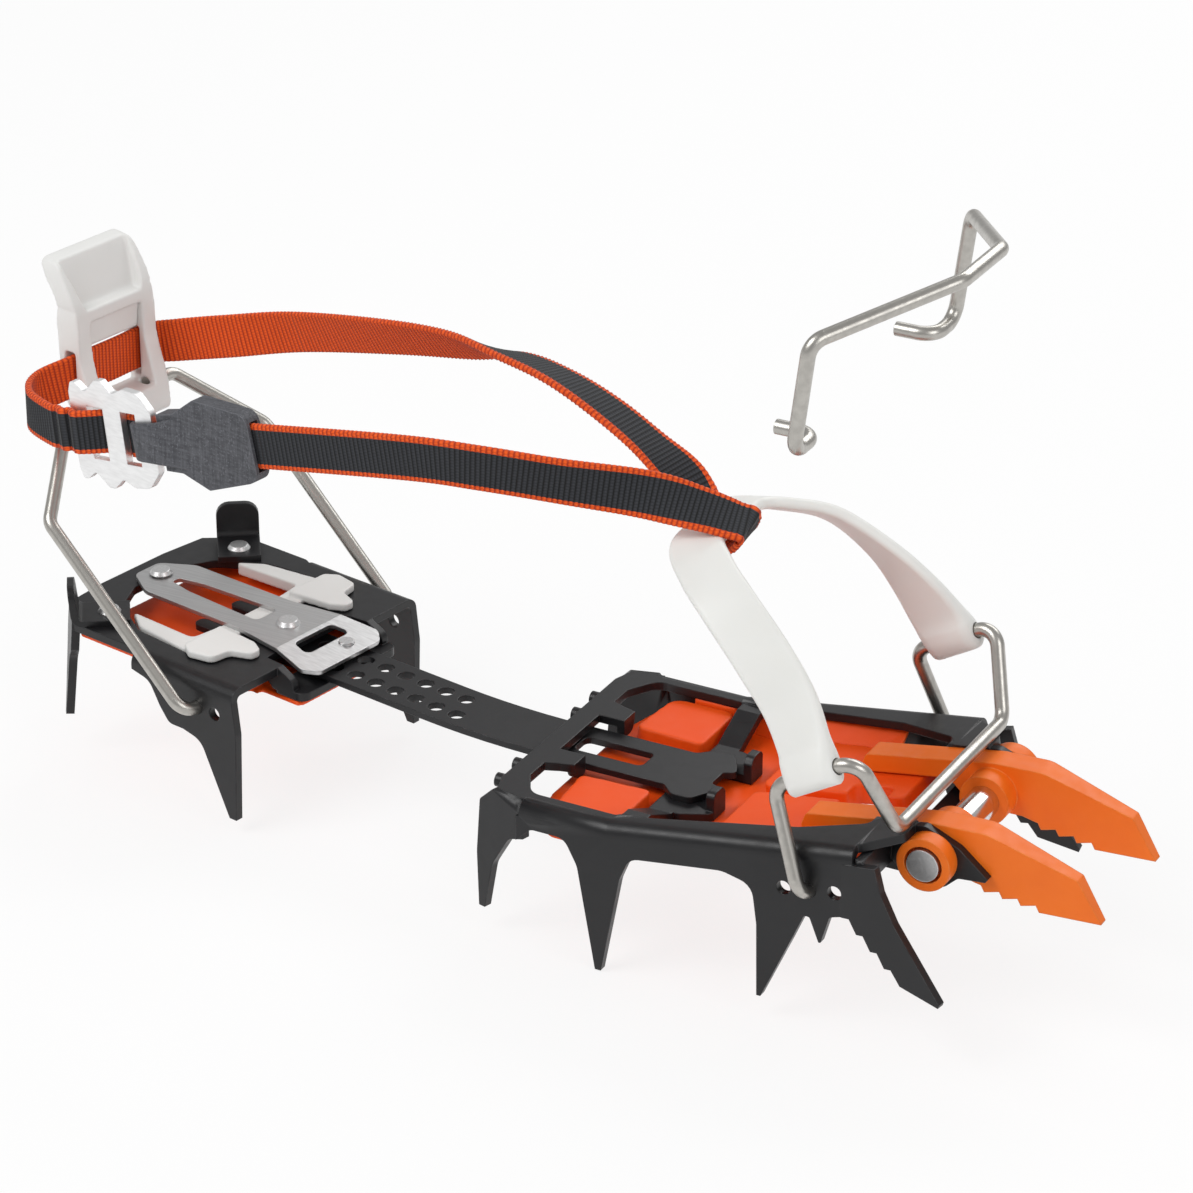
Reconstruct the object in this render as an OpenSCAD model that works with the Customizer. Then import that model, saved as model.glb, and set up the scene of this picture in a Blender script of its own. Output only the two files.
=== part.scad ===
// Steel crampon for a right mountaineering boot: a front section with two bolted front points,
// a heel section that slides on a perforated bar, wire bails at toe and heel, and an ankle strap.
// +X points to the toe, +Y to the inner side of the foot, +Z up. The origin lies on the sole plane,
// in the middle of the strip that crosses the bar at the back of the front section.

/* [Sheet steel] */
// Thickness of the front and heel plates
sheet_t = 2.5; // [2:0.1:3]
// Outer radius of the fold between a plate and its side walls
fold_r = 4; // [3.5:0.1:4.5]

/* [Front section] */
// Width over the side walls
front_w = 88; // [85:0.5:92]
// Length of the level part, from the rear strip to the line where the toe starts to rise
flat_len = 34.5; // [33:0.5:36]
// Length of the rising toe part along its slope
toe_len = 84; // [83:0.5:87]
// Angle of the rising toe part
toe_rise = 9; // [7.5:0.5:10]
// Depth of the long side tooth below the sole plane
ball_tooth = 46; // [40:0.5:50]
// Depth of the side tooth behind the toe bail
toe_tooth = 40; // [35:0.5:44]
// Depth of the rear corner tooth
corner_tooth = 39; // [34:0.5:44]

/* [Front points] */
// Distance between the middles of the two front points
point_gap = 38; // [36:0.5:41]
// Thickness of a front point at the bolt
point_t = 8; // [7:0.5:9]
// Reach of a front point ahead of the bolt
point_reach = 47; // [42:0.5:52]
// Diameter of the bolt through the front points
bolt_d = 6.4; // [5:0.1:7]

/* [Linking bar] */
// Width of the bar
bar_w = 20; // [18:0.5:22]
// Thickness of the bar
bar_t = 2; // [1.6:0.1:2.2]
// Diameter of the adjusting holes
bar_hole_d = 5; // [4.6:0.1:5.6]
// Pitch of the adjusting holes in each of the two rows
bar_pitch = 7.7; // [7:0.1:8]
// Angle between the front and heel axes, seen from above
bar_bend = 11; // [8:0.5:14]

/* [Heel section] */
// Width over the side walls
heel_w = 80; // [78:0.5:84]
// Distance from the bend of the bar to the heel stops
heel_reach = 131.5; // [128:0.5:140]
// Depth of the side teeth of the heel
heel_tooth = 42; // [36:0.5:45]
// Depth of the rear corner teeth of the heel
rear_tooth = 34; // [30:0.5:40]
// Height of the two heel stops above the plate
stop_h = 12; // [9:0.5:16]

/* [Wire bails] */
// Diameter of the bail wire
wire_d = 4; // [3.5:0.1:4.2]
// Bend radius of the wire, at its centre line
wire_bend = 5; // [4.5:0.1:5.5]
// Height of the toe bail's front bar above the sole plane
toe_bar_z = 16; // [15.5:0.5:19]
// Height of the bends at the sides of the heel bail
heel_bend_z = 36; // [32:0.5:40]

/* [Heel lever] */
// Width of the lever
lever_w = 32; // [30:0.5:34]
// Height of the lever's top edge above its pivot
lever_h = 46; // [43:0.5:50]

/* [Straps] */
// Width of the ankle webbing
web_w = 13; // [11:0.5:13.5]
// Thickness of the ankle webbing
web_t = 1.6; // [1.2:0.1:1.8]
// Width of the white toe strap
toe_strap_w = 17; // [14:0.5:19]
// Thickness of the white toe strap
toe_strap_t = 2.6; // [2:0.1:3]

/* [Hidden] */
$fn = 48;

// Room between pieces that move past each other, and between a pin and its hole
clear = 0.3;
pin_fit = 0.06;

black_steel = [0.13, 0.13, 0.14];
orange = [0.93, 0.36, 0.09];
silver = [0.78, 0.78, 0.77];
white = [0.93, 0.93, 0.92];
grey = [0.3, 0.31, 0.33];

// Front section: half width to the outside of the walls, and half width of the flat top
front_half = front_w / 2;
front_flat = front_half - fold_r;
fold_in = fold_r - sheet_t;
fold_lap = 0.6;
wall_drop = fold_r + fold_lap / 2;
strip_half = 3.2;
corner_y = front_half - 11;
corner_x = -7;
side_x = 8;
window_rim = 2.5;
window_half = front_flat - window_rim;
arm_x = 36;
arm_w = 7;

// Points of the rising toe part, from its own length and height
function toe_point(along, up) = [
    flat_len + along * cos(toe_rise) - up * sin(toe_rise),
    along * sin(toe_rise) + up * cos(toe_rise)
];
function wall_top(x) = x <= flat_len ? -wall_drop
    : tan(toe_rise) * (x - flat_len) - wall_drop / cos(toe_rise);
front_edge = toe_point(toe_len, 0);
bolt = toe_point(toe_len + 3.6, -9.2);
splay_along = toe_len - 12.5;
splay_x = toe_point(splay_along, 0)[0];
splay = 8;

// Holes for the toe bail, along the slope of the wall
bail_hole_pitch = 7.5;
toe_hinge = toe_point(toe_len - 24, -13);

// Front points
point_y = point_gap / 2;
point_out = point_y + point_t / 2;
point_in = point_y - point_t / 2;
ear_t = sheet_t;
ring_t = 5;
ring_r = 7.7;
boss_len = 6;
boss_r = 7.2;
recess_r = 5.4;
recess_depth = 3.2;
ring_out = point_out + ear_t + ring_t;
bolt_bore = bolt_d / 2 + pin_fit;

// Bar: top face under both plates, bent in plan on an arc that ends at the origin
bar_drop = 1;
bar_top = -sheet_t - bar_drop;
bar_bottom = bar_top - bar_t;
bar_half = bar_w / 2;
bar_tangent = 22;
bar_arc = bar_tangent / tan(bar_bend / 2);
head_x = 39;
head_end = 50;
head_half = 14;
hook_half = 20;
row_half = 4.4;
fork_half = 5.5;
fork_r = (bar_half - fork_half) * 0.4;

// Heel frame: its origin is the middle between the two stop rivets
heel_x = -bar_tangent - heel_reach * cos(bar_bend);
heel_y = heel_reach * sin(bar_bend);
heel_half = heel_w / 2;
heel_flat = heel_half - fold_r;
heel_hinge = [50, -9.5];
heel_hole_pitch = 7;
heel_front = 64;
loop_x = 57;
loop_end = 74;
loop_in = 18;
loop_top = bar_bottom - clear;
stop_rivet = [3.3, 27.7];
stop_t = 2;

// Length lock: a spring plate on the heel, with a peg in the bar's far row of holes
spring_t = 1.3;
spring_gap = 0.5;
lock_x = -2.5;
peg_x = 68.3;
peg_r = bar_hole_d / 2 - clear;
spring_bend_x = 57.5;
spring_end = 74;
spring_drop = 10;
bar_end = 20;
hole_count = 10;
first_hole = peg_x - 3 * bar_pitch;

// Heel bail and lever
lever_pivot = [-16, 56.5];
lever_half = lever_w / 2;
slot_half = 10.5;
slot_low = 57.5;
slot_high = 83;
web_slot = [-19.75, 66.8];
web_room = 1.2;
lever_top = lever_pivot[1] + lever_h;

// Toe bail: top of its side loops, which carry the white strap
toe_loop = [front_edge[0] - 21, front_half + 0.5, 32];
toe_loop_dir = [0.866, 0, 0.5];
wire_room = wire_bend + clear;
wire_step = sheet_t + 2 * wire_room;
toe_wire_y = front_half + wire_room;
strap_apex = [47.5, 0, 76];
strap_lean = [0.85, 0, 0.52];
eye_wall = 2;

function unit(v) = v / norm(v);
function turn(a) = a > 180 ? a - 360 : a < -180 ? a + 360 : a;

// Points of a polygon whose corners [x, y, radius] are rounded by arcs
function corner_arc(a, b, c, r, steps) =
    let (
        u = unit(a - b),
        v = unit(c - b),
        half = acos(max(-1, min(1, u * v))) / 2,
        reach = r / tan(half),
        centre = b + unit(u + v) * r / sin(half),
        first = b + u * reach - centre,
        last = b + v * reach - centre,
        from = atan2(first[1], first[0]),
        sweep = turn(atan2(last[1], last[0]) - from)
    )
    [for (i = [0 : steps])
        let (a = from + sweep * i / steps)
        centre + r * [cos(a), sin(a)]];
function flat_xy(p) = [p[0], p[1]];
function rounded(points, steps = 5) =
    let (n = len(points))
    [for (i = [0 : n - 1])
        let (
            p = points[i],
            r = len(p) > 2 ? p[2] : 0,
            before = flat_xy(points[(i + n - 1) % n]),
            after = flat_xy(points[(i + 1) % n])
        )
        each (r == 0 ? [flat_xy(p)] : corner_arc(before, flat_xy(p), after, r, steps))];
function mirrored(points) = concat(
    points,
    [for (i = [len(points) - 1 : -1 : 0])
        let (p = points[i])
        len(p) > 2 ? [p[0], -p[1], p[2]] : [p[0], -p[1]]]
);
// Saw teeth from one point to another, cut on the left of the line
function saw(a, b, count, depth) =
    let (step = (b - a) / count, side = unit([-step[1], step[0]]) * depth)
    [for (i = [0 : count - 1]) each [a + step * i, a + step * (i + 0.25) + side]];

// Smooth run through the given points
function between(a, b, c, d, t) = 0.5 * (2 * b + (c - a) * t + (2 * a - 5 * b + 4 * c - d) * t * t
    + (3 * b - a - 3 * c + d) * t * t * t);
function glide(p, steps) = [
    for (i = [0 : len(p) - 2], k = [0 : steps - 1])
        between(p[max(i - 1, 0)], p[i], p[i + 1], p[min(i + 2, len(p) - 1)], k / steps),
    p[len(p) - 1]
];

// Heel frame to the part's frame
function heel_dir(v) = [
    v[0] * cos(bar_bend) + v[1] * sin(bar_bend),
    v[1] * cos(bar_bend) - v[0] * sin(bar_bend),
    v[2]
];
function heel_point(p) = heel_dir(p) + [heel_x, heel_y, 0];

module both_sides() {
    children();
    mirror([0, 1, 0]) children();
}

module in_heel() {
    translate([heel_x, heel_y, 0]) rotate([0, 0, -bar_bend]) children();
}

module on_toe() {
    translate([flat_len, 0, 0]) rotate([0, -toe_rise, 0]) children();
}

// A plate that stands upright along X, between two distances from the middle
module upright(inner, outer) {
    translate([0, outer, 0]) rotate([90, 0, 0]) linear_extrude(outer - inner) children();
}

// A plate profile drawn across Y and Z, run along X
module along_x(from, to) {
    translate([from, 0, 0]) rotate([90, 0, 90]) linear_extrude(to - from) children();
}

// A flat plate between two heights
module slab(low, high) {
    translate([0, 0, low]) linear_extrude(high - low) children();
}

// Outline across Y and Z of a bent sheet between a flat top and an upright wall, with a lap on the wall
fold_steps = 8;
function fold_arc(half, r) = [for (i = [0 : fold_steps])
    [half - fold_r + r * sin(90 * i / fold_steps), r * cos(90 * i / fold_steps) - fold_r]];
function fold_outline(half) = concat(
    fold_arc(half, fold_r),
    [[half, -fold_r - fold_lap], [half - sheet_t, -fold_r - fold_lap]],
    reversed(fold_arc(half, fold_in))
);
module fold(half) {
    polygon(fold_outline(half));
}

module cross_pin(x, z, r, from, to) {
    translate([x, from, z]) rotate([-90, 0, 0]) cylinder(r = r, h = to - from);
}

module rod(a, b, d) {
    v = b - a;
    translate(a) rotate([0, acos(v[2] / norm(v)), atan2(v[1], v[0])]) cylinder(d = d, h = norm(v));
}

// Bend between two straight runs, a hair thicker than the runs that end inside it
module elbow(a, b, c, bend, d) {
    u = unit(b - a);
    v = unit(c - b);
    n = unit(cross(u, v));
    angle = acos(u * v);
    out = cross(u, n);
    middle = b - u * bend * tan(angle / 2) - out * bend;
    multmatrix([
        [out[0], u[0], n[0], middle[0]],
        [out[1], u[1], n[1], middle[1]],
        [out[2], u[2], n[2], middle[2]],
        [0, 0, 0, 1]
    ]) rotate_extrude(angle = angle) translate([bend, 0]) circle(d = d + 0.02);
}

// Round wire along straight runs joined by bends
run_in = 0.05;
function setback(path, i, bend) = i == 0 || i == len(path) - 1 ? 0
    : bend * tan(acos(unit(path[i] - path[i - 1]) * unit(path[i + 1] - path[i])) / 2) - run_in;
module wire(path, bend, d) {
    for (i = [0 : len(path) - 2]) {
        u = unit(path[i + 1] - path[i]);
        rod(path[i] + u * setback(path, i, bend), path[i + 1] - u * setback(path, i + 1, bend), d);
    }
    for (i = [1 : len(path) - 2])
        elbow(path[i - 1], path[i], path[i + 1], bend, d);
}
function both_ends(half) = concat(
    [for (i = [0 : len(half) - 1]) [half[i][0], -half[i][1], half[i][2]]],
    [for (i = [len(half) - 1 : -1 : 0]) half[i]]
);

// Flat band through points [x, y, z, width direction], drawn between two of its rings
module band(path, from, to, width, thick) {
    spot = [for (q = path) [q[0], q[1], q[2]]];
    side = [for (q = path) unit([q[3], q[4], q[5]]) * width / 2];
    last = len(path) - 1;
    face = [for (i = [0 : last])
        unit(cross(spot[min(i + 1, last)] - spot[max(i - 1, 0)], side[i])) * thick / 2];
    rings = to - from;
    points = [for (i = [from : to]) each [
        spot[i] + side[i] + face[i], spot[i] - side[i] + face[i],
        spot[i] - side[i] - face[i], spot[i] + side[i] - face[i]
    ]];
    walls = [for (i = [0 : rings - 1], k = [0 : 3])
        let (a = 4 * i + k, b = 4 * i + (k + 1) % 4)
        each [[b + 4, b, a], [a + 4, b + 4, a]]];
    tail = 4 * rings;
    ends = [[1, 2, 3], [0, 1, 3], [tail + 2, tail + 1, tail], [tail + 3, tail + 2, tail]];
    polyhedron(points, concat(walls, ends), convexity = 8);
}

// Front plate

// Sheet folded down at both sides, level at the back and rising along the toe from the line at flat_len
module folded_sheet() {
    outline = mirrored([for (p = fold_outline(front_half)) [p[1], p[0]]]);
    n = len(outline);
    toe_end = toe_len - 10;
    points = concat(
        [for (p = outline) [side_x, p[1], p[0]]],
        [for (p = outline) [flat_len - p[0] * tan(toe_rise / 2), p[1], p[0]]],
        [for (p = outline) let (q = toe_point(toe_end, p[0])) [q[0], p[1], q[1]]]
    );
    sides = [for (i = [0, n], k = [0 : n - 1])
        let (m = (k + 1) % n)
        [i + k, i + m, i + n + m, i + n + k]];
    end = concat([[0, n / 2 - 1, n / 2, n - 1]], [for (b = [0, n / 2], k = [0 : n / 4 - 2])
        [b + k, b + k + 1, b + n / 2 - 2 - k, b + n / 2 - 1 - k]]);
    polyhedron(points, concat([for (f = end) reversed(f)], [for (f = end) [for (k = f) k + 2 * n]], sides));
}

// The folded sheet with the rear strip, the rounded toe and the two windows
module front_top() {
    difference() {
        union() {
            folded_sheet();
            slab(-sheet_t, 0) polygon(mirrored([
                [-strip_half, corner_y], [-strip_half + 2, front_half - 4.5],
                [side_x + 0.5, front_half - sheet_t], [side_x + 0.5, front_flat], [side_x + 4, front_flat]
            ]));
            on_toe() slab(-sheet_t, 0) polygon(rounded(mirrored([
                [toe_len - 20, front_flat], [toe_len - 10, front_flat, 4], [toe_len, front_flat - 9, 3],
                [toe_len, 1]
            ])));
        }
        slab(-20, 40) polygon(rounded(mirrored([
            [strip_half, window_half - 9, 0], [strip_half + 5, window_half, 5], [arm_x, window_half, 2]
        ])));
        slab(-20, 40) polygon(rounded(mirrored([
            [arm_x + arm_w, window_half, 2], [front_edge[0] - 30, window_half - 4, 6],
            [front_edge[0] - 12, point_out + ear_t + 2, 3], [front_edge[0] - 12, point_out, 0],
            [front_edge[0] + 1, point_out, 0]
        ])));
    }
}

// Serrated tooth that points forward and outward from the end of the side wall
module splayed_tooth() {
    top = wall_top(splay_x);
    translate([splay_x, front_half - sheet_t, 0]) rotate([0, 0, splay]) upright(0, sheet_t)
        polygon(rounded(concat(
            [[0, -9]], saw([1, -9], [19, -23.5], 4, 1.5),
            [[19.5, -23.5], [31.5, -26], [31.8, -25], [17, -6, 8], [12.5, 2, 3], [10.5, top + 2], [0, top]]
        )));
}

// Side wall with the long teeth, the small tooth, the splayed tooth and the three bail holes
module front_wall() {
    level = flat_len;
    front = front_edge[0];
    difference() {
        union() {
            upright(front_half - sheet_t, front_half) polygon(rounded([
                [side_x - 1, -wall_drop], [side_x - 1, -12], [side_x + 3.5, -7.5, 3],
                [level - 12.5, -7.5, 4], [level - 8.5, -15, 8], [level - 2.9, -ball_tooth],
                [level - 1.1, -ball_tooth], [level + 4.5, -16, 8], [level + 7.5, -8.5, 5],
                [front - 47.5, -4.5, 8], [front - 38.5, -6.5, 5], [front - 36.9, -18, 0],
                [front - 36.5, -toe_tooth], [front - 35.3, -toe_tooth], [front - 26.5, -20, 6],
                [front - 22.9, -11.5, 1], [front - 21.3, -11.5, 0.8], [front - 18.5, -18.5],
                [front - 17.9, -18.5], [front - 15.5, -10, 1.5], [splay_x, -9],
                [splay_x, wall_top(splay_x)], [flat_len + wall_drop * tan(toe_rise / 2), -wall_drop]
            ]));
            splayed_tooth();
        }
        for (k = [-1 : 1])
            cross_pin(toe_hinge[0] + k * bail_hole_pitch * cos(toe_rise),
                toe_hinge[1] + k * bail_hole_pitch * sin(toe_rise),
                wire_d / 2 + pin_fit, front_half - 2 * sheet_t, front_half + sheet_t);
    }
}

// Tooth at the rear corner, turned in towards the strip, with its point at the back
module front_corner() {
    run = [side_x + 1 - corner_x, 4.5];
    wide = norm(run);
    translate([corner_x, front_half - 0.4 - run[1], 0]) rotate([0, 0, atan2(run[1], run[0])])
        upright(-sheet_t, 0) polygon(rounded([
            [0, -5, 2], [5, -0.2, 1], [wide - 3, -0.2], [wide, -fold_r], [wide, -11.5], [11, -13.5, 5],
            [4.5, -24, 8], [1.4, -corner_tooth], [-0.8, -corner_tooth], [-1.4, -22, 20]
        ]));
}

// Ear that holds a front point on the bolt, and the web that ties it to the wall
module front_ear() {
    web_x = front_edge[0] - 9;
    difference() {
        union() {
            translate([bolt[0], 0, bolt[1]]) upright(point_out, point_out + ear_t) polygon(rounded([
                [-19, -1.5], [-18, 5.2], [-2, 8.8, 3], [8, 4.5, 4], [16.5, -2.6], [15.8, -3.6],
                [8, -4.4, 2], [4, -8.2, 3], [-6, -8.2, 4], [-12, -3, 3]
            ]));
            translate([web_x, point_out, 0])
                cube([sheet_t, front_half - point_out - sheet_t / 2, wall_top(web_x) + fold_in]);
        }
        cross_pin(bolt[0], bolt[1], bolt_bore, 0, front_half);
    }
}

// Arm that carries the bar's head, with its upright hook, and the guide behind the head
module bar_hook() {
    seat = bar_bottom;
    guide = bar_half + 1.5;
    along_x(arm_x, arm_x + arm_w) polygon([
        [front_half - sheet_t, 0], [front_flat - 7, 0], [hook_half + 1, seat], [8, seat],
        [8, seat - sheet_t], [hook_half + 2, seat - sheet_t], [front_flat - 6, -sheet_t],
        [front_half - sheet_t, -sheet_t]
    ]);
    slab(seat - sheet_t, seat) polygon(rounded([
        [arm_x + arm_w - 0.5, 8], [head_end + 3, 8], [head_end + 3, hook_half - 4, 3],
        [arm_x + arm_w + 2, hook_half, 3], [arm_x + arm_w - 0.5, hook_half]
    ]));
    along_x(head_end + 0.5, head_end + 3) polygon(rounded([
        [8, seat - sheet_t], [hook_half - 5, seat - sheet_t], [hook_half - 5, 0, 2],
        [9.5, 0, 2], [8, -2, 1]
    ]));
    slab(-sheet_t, 0) polygon(rounded([
        [strip_half - 1, guide], [strip_half + 8, guide, 2], [strip_half + 8, guide + 6.5, 2],
        [strip_half + 4, guide + 7.5, 3], [strip_half - 1, guide + 9.5]
    ]));
    along_x(strip_half + 5.5, strip_half + 8) polygon(rounded([
        [guide, 0], [guide, bar_bottom, 1], [guide + 5.5, bar_bottom, 3], [guide + 6.5, 0]
    ]));
}

module front_plate() {
    color(black_steel) {
        front_top();
        both_sides() {
            front_wall();
            front_corner();
            front_ear();
            bar_hook();
        }
        translate([bolt[0], 0, bolt[1]]) slab(-7.5, sheet_t - 7.5) polygon(rounded(mirrored([
            [-14, point_out + 1], [-9, point_out + 1], [-9, 6, 6], [-12, 0.5]
        ])));
    }
}

// Moulded plate that keeps snow from packing under the front section. It stays level as far as the
// hooks of the bar and rises with the toe from there
module front_antisnow() {
    tray_low = bar_bottom - sheet_t - clear - 2;
    rim_half = front_half - sheet_t - clear;
    tray_half = window_half - 1;
    kink = head_end + 4;
    toe_low = tray_low - (kink - flat_len) * sin(toe_rise);
    toe_start = kink - flat_len - 2.5;
    color(orange) {
        difference() {
            union() {
                slab(tray_low, tray_low + 2) polygon(rounded(mirrored([
                    [strip_half + 3, 22, 2], [strip_half + 6, rim_half - 6, 4], [16, rim_half, 4],
                    [flat_len, rim_half, 2], [flat_len + 4, tray_half, 2], [kink + 2, tray_half]
                ])));
                both_sides() {
                    slab(tray_low + 1, -sheet_t) translate([20, window_half])
                        square([flat_len - 21, front_flat - window_half]);
                    slab(tray_low + 1, -sheet_t - 1) polygon(rounded([
                        [strip_half + 9, 16, 2], [arm_x - 2, 15, 2], [arm_x - 2, window_half - 1, 3],
                        [strip_half + 11, window_half - 1, 4]
                    ]));
                }
                on_toe() slab(toe_low, toe_low + 2) polygon(rounded(mirrored([
                    [toe_start, tray_half], [toe_len - 38, window_half - 5, 6],
                    [toe_len - 14, point_out + 1, 4]
                ])));
                on_toe() both_sides() slab(toe_low + 1, -7) polygon(rounded([
                    [24, 2, 2], [toe_len - 17, 2, 2], [toe_len - 17, point_out, 2],
                    [toe_len - 40, window_half - 6.5, 4], [24, window_half - 5.5, 3]
                ]));
            }
            on_toe() slab(-40, 10) polygon(rounded(mirrored([
                [toe_len - 34, 8, 2], [toe_len - 22, 8, 2], [toe_len - 22, 1, 0]
            ])));
        }
    }
}

// Lugs of the moulded plate behind the rear strip
module antisnow_lugs() {
    lug_r = 2;
    color(black_steel) for (y = [-corner_y + 1, -corner_y + 11, bar_half + 2, corner_y - 10])
        translate([-strip_half - 2.2, y, -lug_r]) rotate([0, 90, 0]) cylinder(r = lug_r, h = 2.2);
}

// Forged front point, drawn from its bolt: arm to the rear, blade with cutting teeth to the front
module front_point() {
    reach = point_reach;
    outline = rounded(concat(
        [[reach, -10.3], [reach - 7, 1.2, 1], [14, 9.3, 8], [0, 8.8, 8], [-38, 2, 1.5],
            [-40, -3.6, 1.5], [-13, 0.9, 4], [-6, -5.5], [9, -5.2, 1]],
        saw([13.5, -6.2], [reach - 13, -9.6], 4, -1.7)
    ));
    difference() {
        union() {
            intersection() {
                translate([bolt[0], 0, bolt[1]]) upright(point_in, point_out) polygon(outline);
                translate([bolt[0], point_y, -40]) linear_extrude(100) polygon(mirrored([
                    [-41, point_t / 2], [12, point_t / 2], [reach, 1.6]
                ]));
            }
            cross_pin(bolt[0], bolt[1], boss_r, point_in - boss_len, point_out);
        }
        cross_pin(bolt[0], bolt[1], bolt_bore, 0, front_half);
    }
}

module front_point_left() {
    color(orange) front_point();
}

module front_point_right() {
    color(orange) mirror([0, 1, 0]) front_point();
}

// Bolt with a round head, sunk in the ring on the outer side
module point_bolt() {
    seat = ring_out - recess_depth;
    color(silver) {
        cross_pin(bolt[0], bolt[1], bolt_d / 2, -seat, ring_out);
        cross_pin(bolt[0], bolt[1], recess_r - 0.8, -ring_out - 0.5, -seat);
    }
}

module point_nut() {
    seat = ring_out - recess_depth;
    color(silver) difference() {
        translate([bolt[0], seat, bolt[1]]) rotate([-90, 0, 0])
            cylinder(r = recess_r - 0.4, h = 4, $fn = 6);
        cross_pin(bolt[0], bolt[1], bolt_bore, 0, front_half);
    }
}

module point_sleeve() {
    end = point_in - boss_len;
    color(silver) difference() {
        cross_pin(bolt[0], bolt[1], bolt_d / 2 + 1.4, -end, end);
        cross_pin(bolt[0], bolt[1], bolt_bore, -front_half, front_half);
    }
}

module point_rings() {
    color(orange) both_sides() difference() {
        cross_pin(bolt[0], bolt[1], ring_r, point_out + ear_t, ring_out);
        cross_pin(bolt[0], bolt[1], bolt_bore, 0, front_half);
        cross_pin(bolt[0], bolt[1], recess_r, ring_out - recess_depth, front_half);
    }
}

// Perforated bar: notched head and slotted neck in front, bend, two rows of holes, forked end
function bar_side(side) = concat(
    [
        [head_end - 3.5, side * 3.5, 1], [head_end, side * 5, 1.5], [head_end - 2, side * 9, 2],
        [head_end - 5, side * head_half, 2], [head_x, side * head_half, 2], [head_x - 4, side * bar_half, 3]
    ],
    [for (i = [0 : 6])
        let (r = bar_arc - side * bar_half, a = -90 - bar_bend * i / 6)
        [r * cos(a), bar_arc + r * sin(a), 0]],
    [for (p = [[bar_end, bar_half, fork_r], [bar_end, fork_half, fork_r], [bar_end + 15, fork_half, 3]])
        let (q = heel_point([p[0], side * p[1], 0]))
        [q[0], q[1], p[2]]]
);
function reversed(points) = [for (i = [len(points) - 1 : -1 : 0]) points[i]];

module linking_bar() {
    color(black_steel) difference() {
        slab(bar_bottom, bar_top) polygon(rounded(concat(bar_side(1), reversed(bar_side(-1)))));
        slab(bar_bottom - 1, bar_top + 1) polygon(rounded(mirrored([[strip_half, 4.2, 2], [25, 4.2, 2]])));
        in_heel() for (k = [0 : hole_count - 1], row = [0, 1])
            translate([first_hole + (k + row / 2) * bar_pitch, row_half * (1 - 2 * row), bar_bottom - 1])
                cylinder(d = bar_hole_d, h = bar_t + 2);
    }
}

// Toe bail: pegs in the wall holes, side loops through the white strap, bar across the toe
module toe_wire() {
    inner = toe_wire_y - wire_step;
    rear_arm = toe_loop_dir * (toe_strap_w / 2 + wire_bend * 0.9);
    front_arm = toe_loop_dir * (toe_strap_w / 2 + wire_bend * 1.2);
    color(silver) wire(both_ends([
        [toe_hinge[0] - 9, inner, toe_hinge[1]],
        [toe_hinge[0], inner, toe_hinge[1]],
        [toe_hinge[0], toe_wire_y, toe_hinge[1]],
        toe_loop - rear_arm,
        toe_loop + front_arm,
        [front_edge[0] - 1, front_half - 9.6, toe_bar_z]
    ]), wire_bend, wire_d);
}

// White strap over the instep, with an eye at each end for the wire
toe_strap_half = [
    [47.8, 14, 74.6, 0.86, 0.2, 0.48], [53.5, 24, 72, 0.75, 0.5, 0.43], [64, 32, 68, 0.76, 0.46, 0.47],
    [76, 36.8, 58.5, 0.78, 0.34, 0.52], [87, 40, 45.5, 0.84, 0.12, 0.52]
];
eye_top = toe_loop + [-0.5, -0.4, 0.75] * (wire_d / 2 + eye_wall);
toe_strap_path = glide(concat(
    [[eye_top[0], -eye_top[1], eye_top[2], 0.866, 0, 0.5]],
    [for (q = reversed(toe_strap_half)) [q[0], -q[1], q[2], q[3], q[4], q[5]]],
    [[strap_apex[0], 0, strap_apex[2], strap_lean[0], 0, strap_lean[2]]],
    [for (q = toe_strap_half) [q[0], q[1], q[2], q[3], -q[4], q[5]]],
    [[eye_top[0], eye_top[1], eye_top[2], 0.866, 0, 0.5]]
), 4);

module toe_strap() {
    reach = toe_loop_dir * toe_strap_w / 2;
    color(white) difference() {
        union() {
            band(toe_strap_path, 0, len(toe_strap_path) - 1, toe_strap_w, toe_strap_t);
            both_sides() rod(toe_loop - reach, toe_loop + reach, wire_d + 2 * eye_wall);
        }
        both_sides() rod(toe_loop - 2 * reach, toe_loop + 2 * reach, wire_d + 2 * pin_fit);
    }
}

// Heel plate

module heel_top() {
    difference() {
        union() {
            slab(-sheet_t, 0) polygon(rounded(mirrored([
                [-14.5, 13, 2], [-13, 28.5], [-2.5, heel_flat + 1.5, 3], [22, heel_flat + 1.5, 3],
                [25, heel_flat, 3], [heel_front, heel_flat], [heel_front, loop_in, 2],
                [loop_x, loop_in - 0.5, 1]
            ])));
            both_sides() along_x(24, heel_front) fold(heel_half);
        }
        slab(-10, 10) polygon(rounded(mirrored([
            [-5, 9, 4], [1, 20, 8], [16, 28.5, 8], [41.5, 30.5, 2]
        ])));
        translate([lock_x, 0, -10]) cylinder(d = 4 + 2 * pin_fit, h = 20);
        for (side = [-1, 1])
            translate([stop_rivet[0], side * stop_rivet[1], -10]) cylinder(d = 4 + 2 * pin_fit, h = 20);
    }
}

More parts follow.
